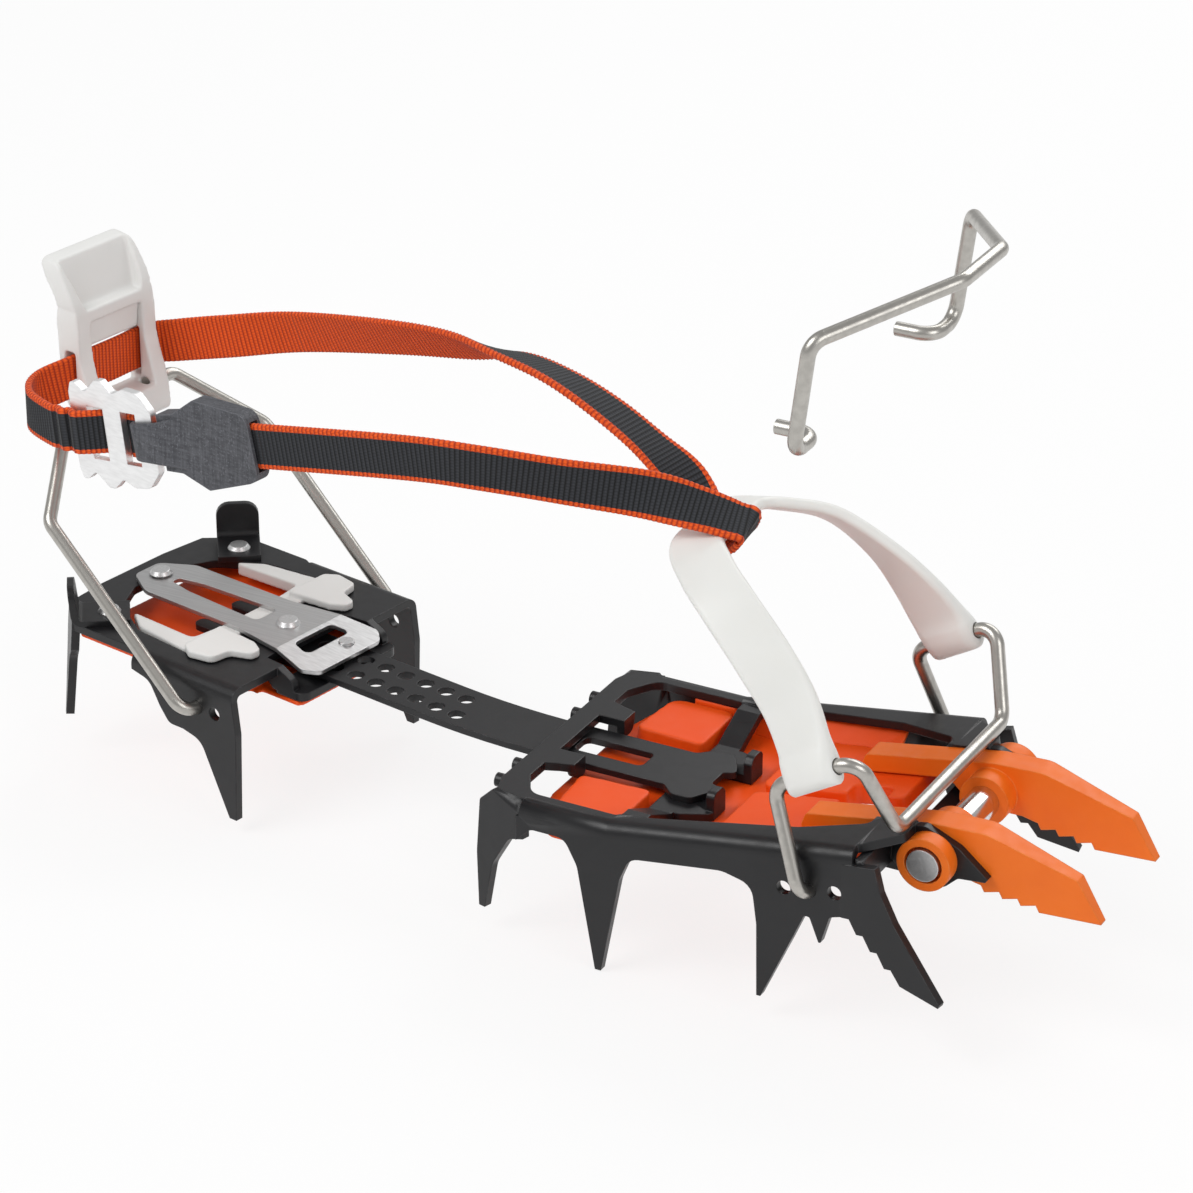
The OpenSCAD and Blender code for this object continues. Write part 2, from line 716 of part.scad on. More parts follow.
module heel_wall() {
    difference() {
        upright(heel_half - sheet_t, heel_half) polygon(rounded([
            [24, -fold_r], [24, -5.5], [31, -7, 5], [35, -14, 5], [38.5, -18.5, 3], [44, -18.5, 3],
            [51, -20, 6], [61.5, -heel_tooth], [64.2, -heel_tooth], [65.2, -14, 8], [heel_front, -fold_r]
        ]));
        for (k = [-1 : 1])
            cross_pin(heel_hinge[0] + k * heel_hole_pitch, heel_hinge[1] - (k < 0 ? 2.5 : 0),
                wire_d / 2 + pin_fit, heel_half - 2 * sheet_t, heel_half + sheet_t);
    }
}

// Tooth on the cut-off rear corner, leaning a little outward
module heel_corner() {
    wide = 14;
    translate([-13, 28.5, 0]) rotate([0, 0, 41]) rotate([5, 0, 0]) upright(-sheet_t, 0)
        polygon(rounded([
            [0, 0], [wide, 0], [wide, -9, 1], [wide * 0.72, -13, 6], [wide * 0.46, -rear_tooth],
            [wide * 0.34, -rear_tooth], [wide * 0.1, -14, 8], [0, -8]
        ]));
}

// Loop under the plate in which the bar slides
module bar_loop() {
    slab(loop_top - sheet_t, loop_top) polygon(rounded(mirrored([
        [loop_x + 5, loop_in + sheet_t, 2], [loop_end, loop_in + sheet_t, 3]
    ])));
    both_sides() upright(loop_in, loop_in + sheet_t) polygon(rounded([
        [loop_x, -sheet_t], [loop_x + 5, loop_top - sheet_t + 1, 1], [loop_end - 4, loop_top - sheet_t + 1],
        [loop_end - 4, -3, 3], [heel_front, 0], [loop_x, 0]
    ]));
}

module heel_plate() {
    color(black_steel) in_heel() {
        heel_top();
        both_sides() {
            heel_wall();
            heel_corner();
        }
        bar_loop();
    }
}

module heel_antisnow() {
    low = loop_top - sheet_t - clear - 2;
    rim = [[heel_flat - 1.5, -sheet_t], [24, -sheet_t - 4], [17, low + 2]];
    tray = [[heel_flat, -sheet_t], [heel_flat, -sheet_t - 2], [25, low + 2], [18, low]];
    color(orange) in_heel() difference() {
        along_x(-9, loop_end - 2) polygon(concat(
            [for (p = rim) p], [for (p = reversed(rim)) [-p[0], p[1]]],
            [for (p = tray) [-p[0], p[1]]], reversed(tray)
        ));
        slab(-40, 5) polygon([[heel_front - 6, loop_in + sheet_t + clear], [90, loop_in + sheet_t + clear],
            [90, 60], [heel_front + 3, 60]]);
        slab(-40, 5) polygon([[heel_front - 6, -loop_in - sheet_t - clear], [heel_front + 3, -60],
            [90, -60], [90, -loop_in - sheet_t - clear]]);
        both_sides() slab(-40, 5) polygon([[-20, 20], [2, heel_flat + 2], [2, 60], [-20, 60]]);
        both_sides() slab(low + 2, 5) polygon([[loop_x - 1, loop_in - clear], [90, loop_in - clear],
            [90, loop_in + 20], [loop_x - 1, loop_in + 20]]);
    }
}

// Bent stop behind the boot heel, riveted to the plate and turned to the rear corner
module heel_stop(side) {
    reach = 11;
    tall = stop_h;
    wide = 13;
    color(black_steel) in_heel()
        translate([stop_rivet[0], side * stop_rivet[1], 0]) rotate([0, 0, side * 135]) difference() {
            intersection() {
                translate([0, -wide / 2, 0]) upright(0, wide) polygon(rounded([
                    [-6, 0], [reach, 0, 3.5], [reach + 1, tall], [reach + 1 - stop_t, tall],
                    [reach - stop_t, stop_t, 1.5], [-6, stop_t]
                ]));
                along_x(-20, 20) polygon(rounded([
                    [-wide / 2, -1], [wide / 2, -1], [wide / 2, tall, 4], [-wide / 2, tall, 4]
                ]));
            }
            translate([0, 0, -1]) cylinder(d = 4 + 2 * pin_fit, h = stop_t + 2);
        }
}

module heel_stop_right() {
    heel_stop(-1);
}

module heel_stop_left() {
    heel_stop(1);
}

module stop_rivets() {
    color(silver) in_heel() for (side = [-1, 1])
        translate([stop_rivet[0], side * stop_rivet[1], 0]) {
            translate([0, 0, -sheet_t]) cylinder(d = 4, h = sheet_t + stop_t);
            translate([0, 0, stop_t]) cylinder(d1 = 7, d2 = 5.4, h = 1.2);
            translate([0, 0, -sheet_t - 1]) cylinder(d = 6.5, h = 1);
        }
}

// Length lock

spring_low = spring_gap;
spring_high = spring_gap + spring_t;

module lock_rivet() {
    color(silver) in_heel() translate([lock_x, 0, 0]) {
        translate([0, 0, -sheet_t]) cylinder(d = 4, h = sheet_t + spring_high + 0.5);
        translate([0, 0, spring_high + 0.5]) cylinder(d1 = 7, d2 = 5.4, h = 1.2);
        translate([0, 0, -sheet_t - 1]) cylinder(d = 6.5, h = 1);
    }
}

// Silver fork with a window, bent down at its front to reach the bar
module lock_spring() {
    color(silver) in_heel() {
        difference() {
            slab(spring_low, spring_high) polygon(rounded(mirrored([
                [lock_x - 6, 5, 3], [lock_x + 4, 11, 6], [40, 11.3, 10], [spring_bend_x, 14]
            ])));
            slab(-5, 10) polygon(rounded(mirrored([[lock_x + 6, 1.5, 1.4], [12, 3.2, 8], [41, 4.6, 2]])));
            translate([lock_x, 0, -5]) cylinder(d = 5.4, h = 12);
            translate([peg_x - 19, 0, -5]) cylinder(d = 4 + 2 * pin_fit, h = 12);
        }
        difference() {
            translate([spring_bend_x, 0, spring_high]) rotate([0, spring_drop, 0]) difference() {
                slab(-spring_t, 0) polygon(rounded(mirrored([
                    [0, 14], [spring_end - spring_bend_x - 4, 16.5, 3], [spring_end - spring_bend_x, 13, 3]
                ])));
                slab(-4, 3) polygon(rounded(mirrored([[1.5, 8, 2], [8, 9.5, 2]])));
            }
            translate([peg_x, row_half, -10]) cylinder(r = peg_r + pin_fit, h = 20);
        }
    }
}

// White release slider: bridge under the spring, finger fins on the plate, arms beside the window
module lock_slider() {
    color(white) in_heel() {
        slab(bar_top + clear, spring_low) polygon(rounded(mirrored([[33.5, 12, 1], [40.5, 12, 1]])));
        both_sides() {
            slab(bar_top + clear, spring_low) polygon(rounded([
                [33.5, 11], [40.8, 11], [40.8, 29.5, 1.5], [34, 29.5, 2], [15, 27, 6],
                [8, 22.4, 0.6], [8.6, 21.6, 0.6], [32, 22.5, 2]
            ]));
            slab(clear, spring_high + 0.8) polygon(rounded([
                [36, 14.6], [51, 16, 2], [55.5, 18.5, 2], [55.5, 22, 2], [49, 24.5, 2], [48, 31, 2.5],
                [40, 32.5, 2], [36, 30, 2]
            ]));
        }
    }
}

// Rivet through the spring, and the peg that drops into a hole of the bar
module lock_stud() {
    peg_top = spring_high - tan(spring_drop) * (peg_x - spring_bend_x - peg_r) + 0.3;
    color(silver) in_heel() {
        translate([peg_x - 19, 0, spring_low]) cylinder(d = 4, h = spring_t);
        translate([peg_x - 19, 0, spring_high]) cylinder(d1 = 7.4, d2 = 5.6, h = 1.4);
        translate([peg_x, row_half, bar_bottom]) cylinder(r = peg_r, h = peg_top - bar_bottom);
    }
}

// Heel bail and lever

module heel_wire() {
    outer = heel_half + wire_room;
    inner = outer - wire_step;
    color(silver) in_heel() for (side = [0, 1]) mirror([0, side, 0]) wire([
        [heel_hinge[0] - 7, inner, heel_hinge[1] - 4],
        [heel_hinge[0], inner, heel_hinge[1]],
        [heel_hinge[0], outer, heel_hinge[1]],
        [-1, outer + 0.3, heel_bend_z],
        [lever_pivot[0], lever_half + wire_bend + 1, lever_pivot[1]],
        [lever_pivot[0], slot_half + 0.5, lever_pivot[1]]
    ], wire_bend, wire_d);
}

// White lever: curved body with a thumb dish, a slot for the webbing and the wire's two pivots
module lever_body() {
    dish_low = slot_high + 4;
    dish_half = lever_half - 4.5;
    color(white) in_heel() difference() {
        intersection() {
            upright(-lever_half, lever_half) polygon(rounded([
                [-9, 49, 2], [-12, 60, 8], [-15.5, 72, 12], [-16, 88, 20], [-20, lever_top - 1.5, 2],
                [-27.5, lever_top, 2], [-25, 86, 20], [-24, 62, 10], [-18.5, 49, 3]
            ]));
            along_x(-60, 20) polygon(rounded([
                [-lever_half + 3, 40, 2], [lever_half - 3, 40, 2], [lever_half, 58, 6],
                [lever_half, 86, 20], [lever_half - 4, lever_top + 2, 7],
                [4 - lever_half, lever_top + 2, 7], [-lever_half, 86, 20], [-lever_half, 58, 6]
            ]));
        }
        translate([-40, -slot_half, slot_low]) cube([40, 2 * slot_half, slot_high - slot_low]);
        translate([web_slot[0] - web_t / 2 - web_room, -lever_w, web_slot[1] - web_w / 2 - web_room])
            cube([web_t + 2 * web_room, 2 * lever_w, web_w + 2 * web_room]);
        both_sides()
            cross_pin(lever_pivot[0], lever_pivot[1], wire_d / 2 + pin_fit, slot_half - 1, lever_w);
        upright(-dish_half, dish_half) polygon(rounded([
            [0, dish_low], [-19.5, dish_low, 1], [-20.8, lever_top - 8, 6], [-21.8, lever_top + 3],
            [0, lever_top + 3]
        ]));
    }
}

module lever_block() {
    color(white) in_heel() upright(0.15 - slot_half, slot_half - 0.15) polygon(rounded([
        [-17.2, slot_high], [-23.5, slot_high], [-23.5, web_slot[1] + web_w / 2 + 1.2, 1],
        [-18, web_slot[1] + web_w / 2 + 1.2, 1.5]
    ]));
}

// Ankle webbing: one route from the buckle along the outer side, round the white strap,
// back along the inner side, through the lever and to the buckle again
buckle_y = -41.1;
buckle_t = 2.4;
tab_y = -39.4;
web_in = buckle_y + buckle_t / 2 + web_t / 2 + clear;
web_out = buckle_y - buckle_t / 2 - web_t / 2 - clear;
function heel_web(x, y, z, w) = concat(heel_point([x, y, z]), heel_dir(w));
loop_over = strap_apex + [-0.52, 0, 0.85] * (toe_strap_t / 2 + web_t + 2.4);
loop_under = strap_apex - [-0.52, 0, 0.85] * (toe_strap_t / 2 + web_t + 2.6);
loop_front = strap_apex + strap_lean * (toe_strap_w / 2 + 5);
web_points = [
    heel_web(28, web_in, 69.7, [-0.1, 0, 1]),
    heel_web(39, web_in, 71.6, [-0.18, 0, 1]),
    heel_web(47, tab_y, 73.7, [-0.22, 0, 1]),
    heel_web(80, tab_y, 81.4, [-0.22, 0, 1]),
    [-32, -33.5, 90.3, -0.1, 0, 1],
    [-9.7, -32, 91.5, -0.02, 0, 1],
    [10.9, -25, 89.3, 0.1, 0.05, 1],
    [31.3, -16, 87.2, 0.1, 0.4, 0.9],
    [loop_over[0] - 1, -6, loop_over[2] + 3, 0, 0.8, 0.6],
    [loop_front[0] - 3, -2, loop_front[2] + 3.2, 0, 0.92, 0.4],
    [loop_front[0], 0, loop_front[2], 0, 0.95, 0.3],
    [loop_front[0] - 2.4, 2, loop_front[2] - 8, 0, 0.97, 0.2],
    [loop_under[0], 4, loop_under[2] - 0.5, 0, 1, 0],
    [37.5, 9.5, 70, 0.3, 0, -1],
    [28, 14.5, 77.5, -0.2, -0.9, -0.5],
    [16, 18, 83.5, -0.2, -0.97, -0.05],
    [1, 20.5, 90.4, -0.15, -0.99, 0.03],
    [-15.7, 23.5, 95.4, -0.18, -0.97, 0.16],
    [-33.4, 28, 96.4, -0.26, -0.92, 0.28],
    heel_web(94.3, 26.9, 93.6, [-0.16, -0.64, 0.75]),
    heel_web(68, 27.9, 88.7, [-0.22, -0.43, 0.88]),
    heel_web(29.4, 30, 79.2, [-0.24, -0.18, 0.95]),
    heel_web(4.6, 26, 72.5, [-0.2, 0, 1]),
    heel_web(-12.5, 22, 68, [-0.1, 0, 1]),
    heel_web(web_slot[0], 16, web_slot[1], [0, 0, 1]),
    heel_web(web_slot[0], 0, web_slot[1], [0, 0, 1]),
    heel_web(web_slot[0], -16, web_slot[1], [0, 0, 1]),
    heel_web(-22, -28, 65, [0, 0, 1]),
    heel_web(-14, -38, 65.5, [0, 0, 1]),
    heel_web(0, web_out, 66.6, [-0.08, 0, 1]),
    heel_web(14.2, web_out, 68.3, [-0.1, 0, 1]),
    heel_web(21, web_in, 69, [-0.1, 0, 1]),
    heel_web(26.6, web_in, 69.6, [-0.1, 0, 1])
];
web_steps = 4;
web_path = glide(web_points, web_steps);
// Points of the route at which the webbing passes from one piece to the next
near_tab_end = 3;
near_middle = 4;
near_front = 6;
far_front = 15;
far_middle = 18;
far_rear = 21;

module web_span(from, to) {
    color(black_steel) band(web_path, from * web_steps, to * web_steps, web_w, web_t);
}

module strap_toe_loop() {
    web_span(near_front, far_front);
}

module strap_sides() {
    web_span(near_middle, near_front);
    web_span(far_front, far_middle);
}

module strap_rear() {
    web_span(near_tab_end, near_middle);
    web_span(far_middle, far_rear);
}

module strap_lever() {
    web_span(0, near_tab_end);
    web_span(far_rear, len(web_points) - 1);
}

// Steel buckle with notched ends and two slots
module strap_buckle() {
    slot_tall = web_w + 2.8;
    color(silver) in_heel() translate([24, 0, 69.4]) rotate([0, -8, 0])
        upright(buckle_y - buckle_t / 2, buckle_y + buckle_t / 2) difference() {
            polygon(rounded([
                [-16, -11.5, 1.5], [-14.8, -14.6, 0.8], [-13, -14.6, 0.8], [-9.5, -12, 1.5],
                [-4.6, -16.2, 0.8], [-2.4, -16.2, 0.8], [1.5, -12.8, 2], [6, -14.8, 3], [12, -14.2, 3], [16.5, -9, 3],
                [16.5, 9, 3], [12, 14.2, 3], [6, 14.8, 3], [1.5, 12.8, 2], [-2.4, 16.2, 0.8],
                [-4.6, 16.2, 0.8], [-9.5, 12, 1.5], [-13, 14.6, 0.8], [-14.8, 14.6, 0.8], [-16, 11.5, 1.5]
            ]));
            translate([-9.5, -slot_tall / 2]) square([6.5, slot_tall]);
            translate([4, -slot_tall / 2]) square([6, slot_tall]);
        }
}

// Grey keeper tab that the webbing runs through
module strap_tab() {
    tall = web_w + 13.5;
    neck = web_w + 3.6;
    tab_room = 0.8;
    color(grey) in_heel() translate([40, 0, 72.1]) rotate([0, -12.9, 0]) difference() {
        upright(tab_y - web_t / 2 - 2, tab_y + web_t / 2 + 1.7) polygon(rounded([
            [3, -neck / 2], [9.5, -neck / 2 - 0.4, 2], [19, -tall / 2, 1.2], [39, -tall / 2 + 3.6, 4],
            [39, tall / 2 - 3.6, 4], [19, tall / 2, 1.2], [9.5, neck / 2 + 0.4, 2], [3, neck / 2]
        ]));
        translate([0, tab_y - web_t / 2 - tab_room, -web_w / 2 - tab_room])
            cube([60, web_t + 2 * tab_room, web_w + 2 * tab_room]);
    }
}

// Second toe bail for boots with a toe welt, lying apart from the rest
spare = [119.5, 0, 163.5];
module spare_wire() {
    color(silver) wire(both_ends([
        [spare[0] - 39.5, toe_wire_y - wire_step, spare[2] - 39],
        [spare[0] - 28.5, toe_wire_y - wire_step, spare[2] - 39],
        [spare[0] - 28.5, toe_wire_y, spare[2] - 39],
        [spare[0] - 24.5, toe_wire_y, spare[2] - 8],
        [spare[0], 12, spare[2]]
    ]), wire_bend, wire_d);
}

front_plate();
front_antisnow();
antisnow_lugs();
front_point_right();
front_point_left();
point_bolt();
point_nut();
point_sleeve();
point_rings();
linking_bar();
toe_wire();
toe_strap();
heel_plate();
heel_antisnow();
heel_stop_right();
heel_stop_left();
stop_rivets();
lock_rivet();
lock_spring();
lock_slider();
lock_stud();
heel_wire();
lever_body();
lever_block();
strap_toe_loop();
strap_sides();
strap_rear();
strap_lever();
strap_buckle();
strap_tab();
spare_wire();
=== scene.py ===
"""Look of the crampon: materials for the CAD nodes, woven ankle strap, moulded straps and lever,
trimmed front plate, light and camera."""
import math

import bmesh
import bpy
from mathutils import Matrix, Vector


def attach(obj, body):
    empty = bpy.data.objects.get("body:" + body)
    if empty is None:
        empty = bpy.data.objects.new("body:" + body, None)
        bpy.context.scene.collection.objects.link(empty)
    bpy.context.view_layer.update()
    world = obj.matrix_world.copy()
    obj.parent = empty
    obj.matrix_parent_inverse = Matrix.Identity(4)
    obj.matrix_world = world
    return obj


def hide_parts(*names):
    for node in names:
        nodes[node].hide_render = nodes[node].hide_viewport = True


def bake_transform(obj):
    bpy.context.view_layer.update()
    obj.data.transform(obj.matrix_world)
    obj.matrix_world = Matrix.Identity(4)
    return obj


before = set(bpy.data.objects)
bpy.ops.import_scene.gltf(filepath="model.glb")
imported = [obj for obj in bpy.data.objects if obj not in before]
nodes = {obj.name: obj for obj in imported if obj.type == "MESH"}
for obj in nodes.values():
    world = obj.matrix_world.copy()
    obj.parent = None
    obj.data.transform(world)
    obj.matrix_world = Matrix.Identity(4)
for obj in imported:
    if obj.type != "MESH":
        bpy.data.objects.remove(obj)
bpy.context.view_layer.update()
MM = 0.001


# Colours

def srgb(red, green, blue):
    """A colour given as 0 to 255 screen values, as the linear values that shaders use."""
    linear = []
    for value in (red, green, blue):
        c = value / 255
        linear.append(c / 12.92 if c <= 0.04045 else ((c + 0.055) / 1.055) ** 2.4)
    return (*linear, 1.0)


BLACK_COAT = srgb(28, 28, 30)
BLACK_CLOUD = srgb(21, 21, 23)
BLACK_WORN = srgb(78, 78, 80)
POINT_ORANGE = srgb(242, 118, 26)
POINT_SHADE = srgb(232, 104, 18)
POINT_WORN = srgb(250, 156, 80)
PLATE_ORANGE = srgb(243, 88, 16)
PLATE_SHADE = srgb(233, 74, 12)
# Lighter orange painted along the plastic's edges as a highlight
PLATE_EDGE_HIGHLIGHT = srgb(248, 112, 42)
WIRE_STEEL = srgb(190, 187, 181)
TURNED_STEEL = srgb(226, 226, 226)
BUCKLE_STEEL = srgb(248, 248, 248)
SPRING_STEEL = srgb(206, 206, 206)
WHITE_PLASTIC = srgb(230, 230, 228)
WHITE_SHADE = srgb(221, 221, 218)
# Lighter white painted along the plastic's edges as a highlight
WHITE_EDGE_HIGHLIGHT = srgb(238, 238, 237)
MILKY_WHITE = srgb(234, 234, 231)
MILKY_SHADE = srgb(224, 224, 220)
TAB_GREY = srgb(86, 87, 92)
TAB_DARK = srgb(60, 61, 66)
# Pale colour of the tab's own flecks, also painted along its edges as a highlight
TAB_FLECK_AND_HIGHLIGHT = srgb(116, 118, 124)
# Yarn colours, each with a darker colour that is painted shade in the grooves of the weave
YARN_BLACK = srgb(54, 56, 61)
YARN_BLACK_GROOVE_SHADE = srgb(5, 5, 6)
YARN_ORANGE = srgb(242, 94, 20)
YARN_ORANGE_GROOVE_SHADE = srgb(158, 38, 4)


# Material helpers

# Numbers of the colour sockets of a Mix node
MIX_FIRST, MIX_SECOND, MIX_RESULT = 6, 7, 2
# Cosine between the plain and the rounded normal where an edge begins, and where it is full
EDGE_BEGINS, EDGE_FULL = 0.985, 0.8
# Values between which nearly all of a noise texture lies
NOISE_LOW, NOISE_HIGH = 0.3, 0.7


class Shader:
    """A new material with a Principled surface, and short ways to add nodes to it."""

    def __init__(self, name):
        self.material = bpy.data.materials.new(name)
        self.material.use_nodes = True
        self.tree = self.material.node_tree
        self.surface = self.tree.nodes["Principled BSDF"]

    def add(self, kind, **settings):
        node = self.tree.nodes.new(kind)
        for key, value in settings.items():
            if key in node.inputs:
                node.inputs[key].default_value = value
            else:
                setattr(node, key, value)
        return node

    def link(self, source, target):
        self.tree.links.new(source, target)

    def place(self, stretch=(1, 1, 1)):
        """Position on the object, in metres, stretched along its axes."""
        coords = self.add("ShaderNodeTexCoord")
        mapping = self.add("ShaderNodeMapping", Scale=stretch)
        self.link(coords.outputs["Object"], mapping.inputs["Vector"])
        return mapping.outputs["Vector"]

    def noise(self, scale, detail=3.0, place=None):
        texture = self.add("ShaderNodeTexNoise", Scale=scale, Detail=detail)
        self.link(place or self.place(), texture.inputs["Vector"])
        return texture.outputs["Fac"]

    def spread(self, value, low, high, out_low=0.0, out_high=1.0):
        """value from low to high, mapped to out_low to out_high."""
        ramp = self.add("ShaderNodeMapRange")
        limits = {"From Min": low, "From Max": high, "To Min": out_low, "To Max": out_high}
        for key, number in limits.items():
            ramp.inputs[key].default_value = number
        self.link(value, ramp.inputs["Value"])
        return ramp.outputs["Result"]

    def uneven(self, texture, low, high):
        """A value that follows a noise texture from low to high."""
        return self.spread(texture, NOISE_LOW, NOISE_HIGH, low, high)

    def blend(self, factor, first, second):
        """Two colours mixed by a factor; each is a colour or another node's output."""
        mix = self.add("ShaderNodeMix", data_type="RGBA")
        self.link(factor, mix.inputs["Factor"])
        for socket, colour in ((mix.inputs[MIX_FIRST], first), (mix.inputs[MIX_SECOND], second)):
            if isinstance(colour, tuple):
                socket.default_value = colour
            else:
                self.link(colour, socket)
        return mix.outputs[MIX_RESULT]

    def math(self, operation, first, second=None):
        node = self.add("ShaderNodeMath", operation=operation)
        for socket, value in zip(node.inputs, (first, second)):
            if isinstance(value, (int, float)):
                socket.default_value = value
            elif value is not None:
                self.link(value, socket)
        return node.outputs[0]

    def wave(self, place, power):
        """Rounded humps from 0 to 1, one for each whole number of place, with narrow gaps between."""
        hump = self.math("ABSOLUTE", self.math("SINE", self.math("MULTIPLY", place, math.pi)))
        return self.math("POWER", hump, power)

    def round_edges(self, radius, samples=6):
        """Shading normal with rounded edges, and how near a sharp edge the point lies, from 0 to 1."""
        bevel = self.add("ShaderNodeBevel", samples=samples, Radius=radius)
        geometry = self.add("ShaderNodeNewGeometry")
        dot = self.add("ShaderNodeVectorMath", operation="DOT_PRODUCT")
        self.link(bevel.outputs["Normal"], dot.inputs[0])
        self.link(geometry.outputs["Normal"], dot.inputs[1])
        return bevel.outputs["Normal"], self.spread(dot.outputs["Value"], EDGE_BEGINS, EDGE_FULL)

    def relief(self, height, strength, distance, normal=None):
        bump = self.add("ShaderNodeBump", Strength=strength, Distance=distance)
        self.link(height, bump.inputs["Height"])
        if normal is not None:
            self.link(normal, bump.inputs["Normal"])
        self.link(bump.outputs["Normal"], self.surface.inputs["Normal"])

    def set(self, **sockets):
        for key, value in sockets.items():
            socket = self.surface.inputs[key.replace("_", " ")]
            if hasattr(value, "is_output"):
                self.link(value, socket)
            else:
                socket.default_value = value


# Materials

def coated_steel():
    """Satin black coat on sheet steel: fine grain, and edges rubbed a little lighter."""
    s = Shader("black_coat")
    normal, edge = s.round_edges(radius=0.5 * MM)
    patches = s.spread(s.noise(scale=160, detail=4), low=0.42, high=0.62, out_high=0.8)
    rub = s.math("MULTIPLY", edge, patches)
    cloud = s.blend(s.noise(scale=60, detail=2), BLACK_COAT, BLACK_CLOUD)
    s.set(Base_Color=s.blend(rub, cloud, BLACK_WORN), Specular_IOR_Level=0.4,
          Roughness=s.uneven(s.noise(scale=220), low=0.3, high=0.42))
    s.relief(s.noise(scale=2600, detail=2), strength=0.12, distance=0.04 * MM, normal=normal)
    return s.material


def painted_steel():
    """Orange paint on the forged points, thinner on the edges."""
    s = Shader("orange_paint")
    normal, edge = s.round_edges(radius=0.6 * MM)
    patches = s.spread(s.noise(scale=240, detail=4), low=0.4, high=0.6, out_low=0.1, out_high=0.7)
    rub = s.math("MULTIPLY", edge, patches)
    base = s.blend(s.noise(scale=90), POINT_ORANGE, POINT_SHADE)
    s.set(Base_Color=s.blend(rub, base, POINT_WORN), Specular_IOR_Level=0.35,
          Roughness=s.uneven(s.noise(scale=300), low=0.38, high=0.52))
    s.relief(s.noise(scale=1800), strength=0.3, distance=0.07 * MM, normal=normal)
    return s.material


def orange_plastic():
    """Moulded, slightly flexible plate plastic, with a painted highlight in a lighter orange along its
    edges.
    """
    s = Shader("plate_plastic")
    normal, edge = s.round_edges(radius=0.8 * MM)
    base = s.blend(s.noise(scale=35, detail=2), PLATE_ORANGE, PLATE_SHADE)
    # Edges take the painted highlight colour
    s.set(Base_Color=s.blend(edge, base, PLATE_EDGE_HIGHLIGHT), Specular_IOR_Level=0.3,
          Roughness=s.uneven(s.noise(scale=150, detail=2), low=0.42, high=0.54))
    s.relief(s.noise(scale=1400, detail=2), strength=0.12, distance=0.05 * MM, normal=normal)
    return s.material


def bare_steel(name, colour, smoothest, roughest, marks_scale=1500, stretch=(1, 1, 1), contrast=0.85):
    """Bare steel with fine marks, which stretch draws out along an axis."""
    s = Shader(name)
    normal, _ = s.round_edges(radius=0.35 * MM)
    marks = s.noise(marks_scale, place=s.place(stretch))
    dull = tuple(contrast * c for c in colour[:3]) + (1.0,)
    s.set(Base_Color=s.blend(s.uneven(marks, low=0.0, high=1.0), colour, dull), Metallic=1.0,
          Roughness=s.spread(marks, low=0.25, high=0.75, out_low=smoothest, out_high=roughest))
    s.relief(marks, strength=0.06, distance=0.03 * MM, normal=normal)
    return s.material


def white_plastic():
    """Moulded white plastic with a faint mould texture, and a painted highlight in a lighter white
    along its edges.
    """
    s = Shader("moulded_white")
    normal, edge = s.round_edges(radius=0.8 * MM)
    base = s.blend(s.noise(scale=45), WHITE_PLASTIC, WHITE_SHADE)
    # Edges take the painted highlight colour
    s.set(Base_Color=s.blend(edge, base, WHITE_EDGE_HIGHLIGHT),
          Roughness=s.uneven(s.noise(scale=170, detail=2), low=0.34, high=0.44))
    s.relief(s.noise(scale=900), strength=0.1, distance=0.05 * MM, normal=normal)
    return s.material


def milky_rubber():
    """Soft white rubber of the toe strap, a little translucent."""
    s = Shader("milky_rubber")
    s.set(Base_Color=s.blend(s.noise(scale=40), MILKY_WHITE, MILKY_SHADE), Subsurface_Weight=0.25,
          Subsurface_Radius=(1.0, 0.95, 0.9), Subsurface_Scale=2 * MM,
          Roughness=s.uneven(s.noise(scale=140, detail=2), low=0.42, high=0.52))
    s.relief(s.noise(scale=1100), strength=0.12, distance=0.05 * MM)
    return s.material


HATCH_SCALE, HATCH_DRAWN = 1300, 0.1


def grey_rubber():
    """Grey coated tab with a fine cross-hatched grain, a few pale flecks, and its edges painted in the
    fleck colour as a highlight.
    """
    s = Shader("tab_rubber")
    normal, edge = s.round_edges(radius=0.6 * MM)
    fleck = s.spread(s.noise(scale=1700, detail=1), low=0.6, high=0.7, out_high=0.5)
    upright = s.noise(HATCH_SCALE, detail=1, place=s.place((1, 1, HATCH_DRAWN)))
    level = s.noise(HATCH_SCALE, detail=1, place=s.place((HATCH_DRAWN, 1, 1)))
    hatch = s.math("MULTIPLY", s.math("ADD", upright, level), 0.5)
    base = s.blend(s.spread(hatch, low=0.38, high=0.62), TAB_DARK, TAB_GREY)
    # Flecks are the tab's own; the pale edges are a painted highlight
    flecks_and_edge_highlight = s.blend(edge, s.blend(fleck, base, TAB_FLECK_AND_HIGHLIGHT), TAB_FLECK_AND_HIGHLIGHT)
    s.set(Base_Color=flecks_and_edge_highlight, Roughness=s.uneven(hatch, low=0.5, high=0.66), Specular_IOR_Level=0.4)
    s.relief(hatch, strength=0.35, distance=0.1 * MM, normal=normal)
    return s.material


YARNS_ACROSS = 15
RIB_ROUND = 0.9
# Shift of the yarns from rib to rib, in yarns, and height of the gap between two yarns
YARN_SHIFT, YARN_LOW = 0.5, 0.55
# Share of the colour that follows rib height (painted shade in the grooves), and share that follows
# the random fuzz
RIB_PAINTED_SHADE, FUZZ_SHADE = 0.8, 0.4


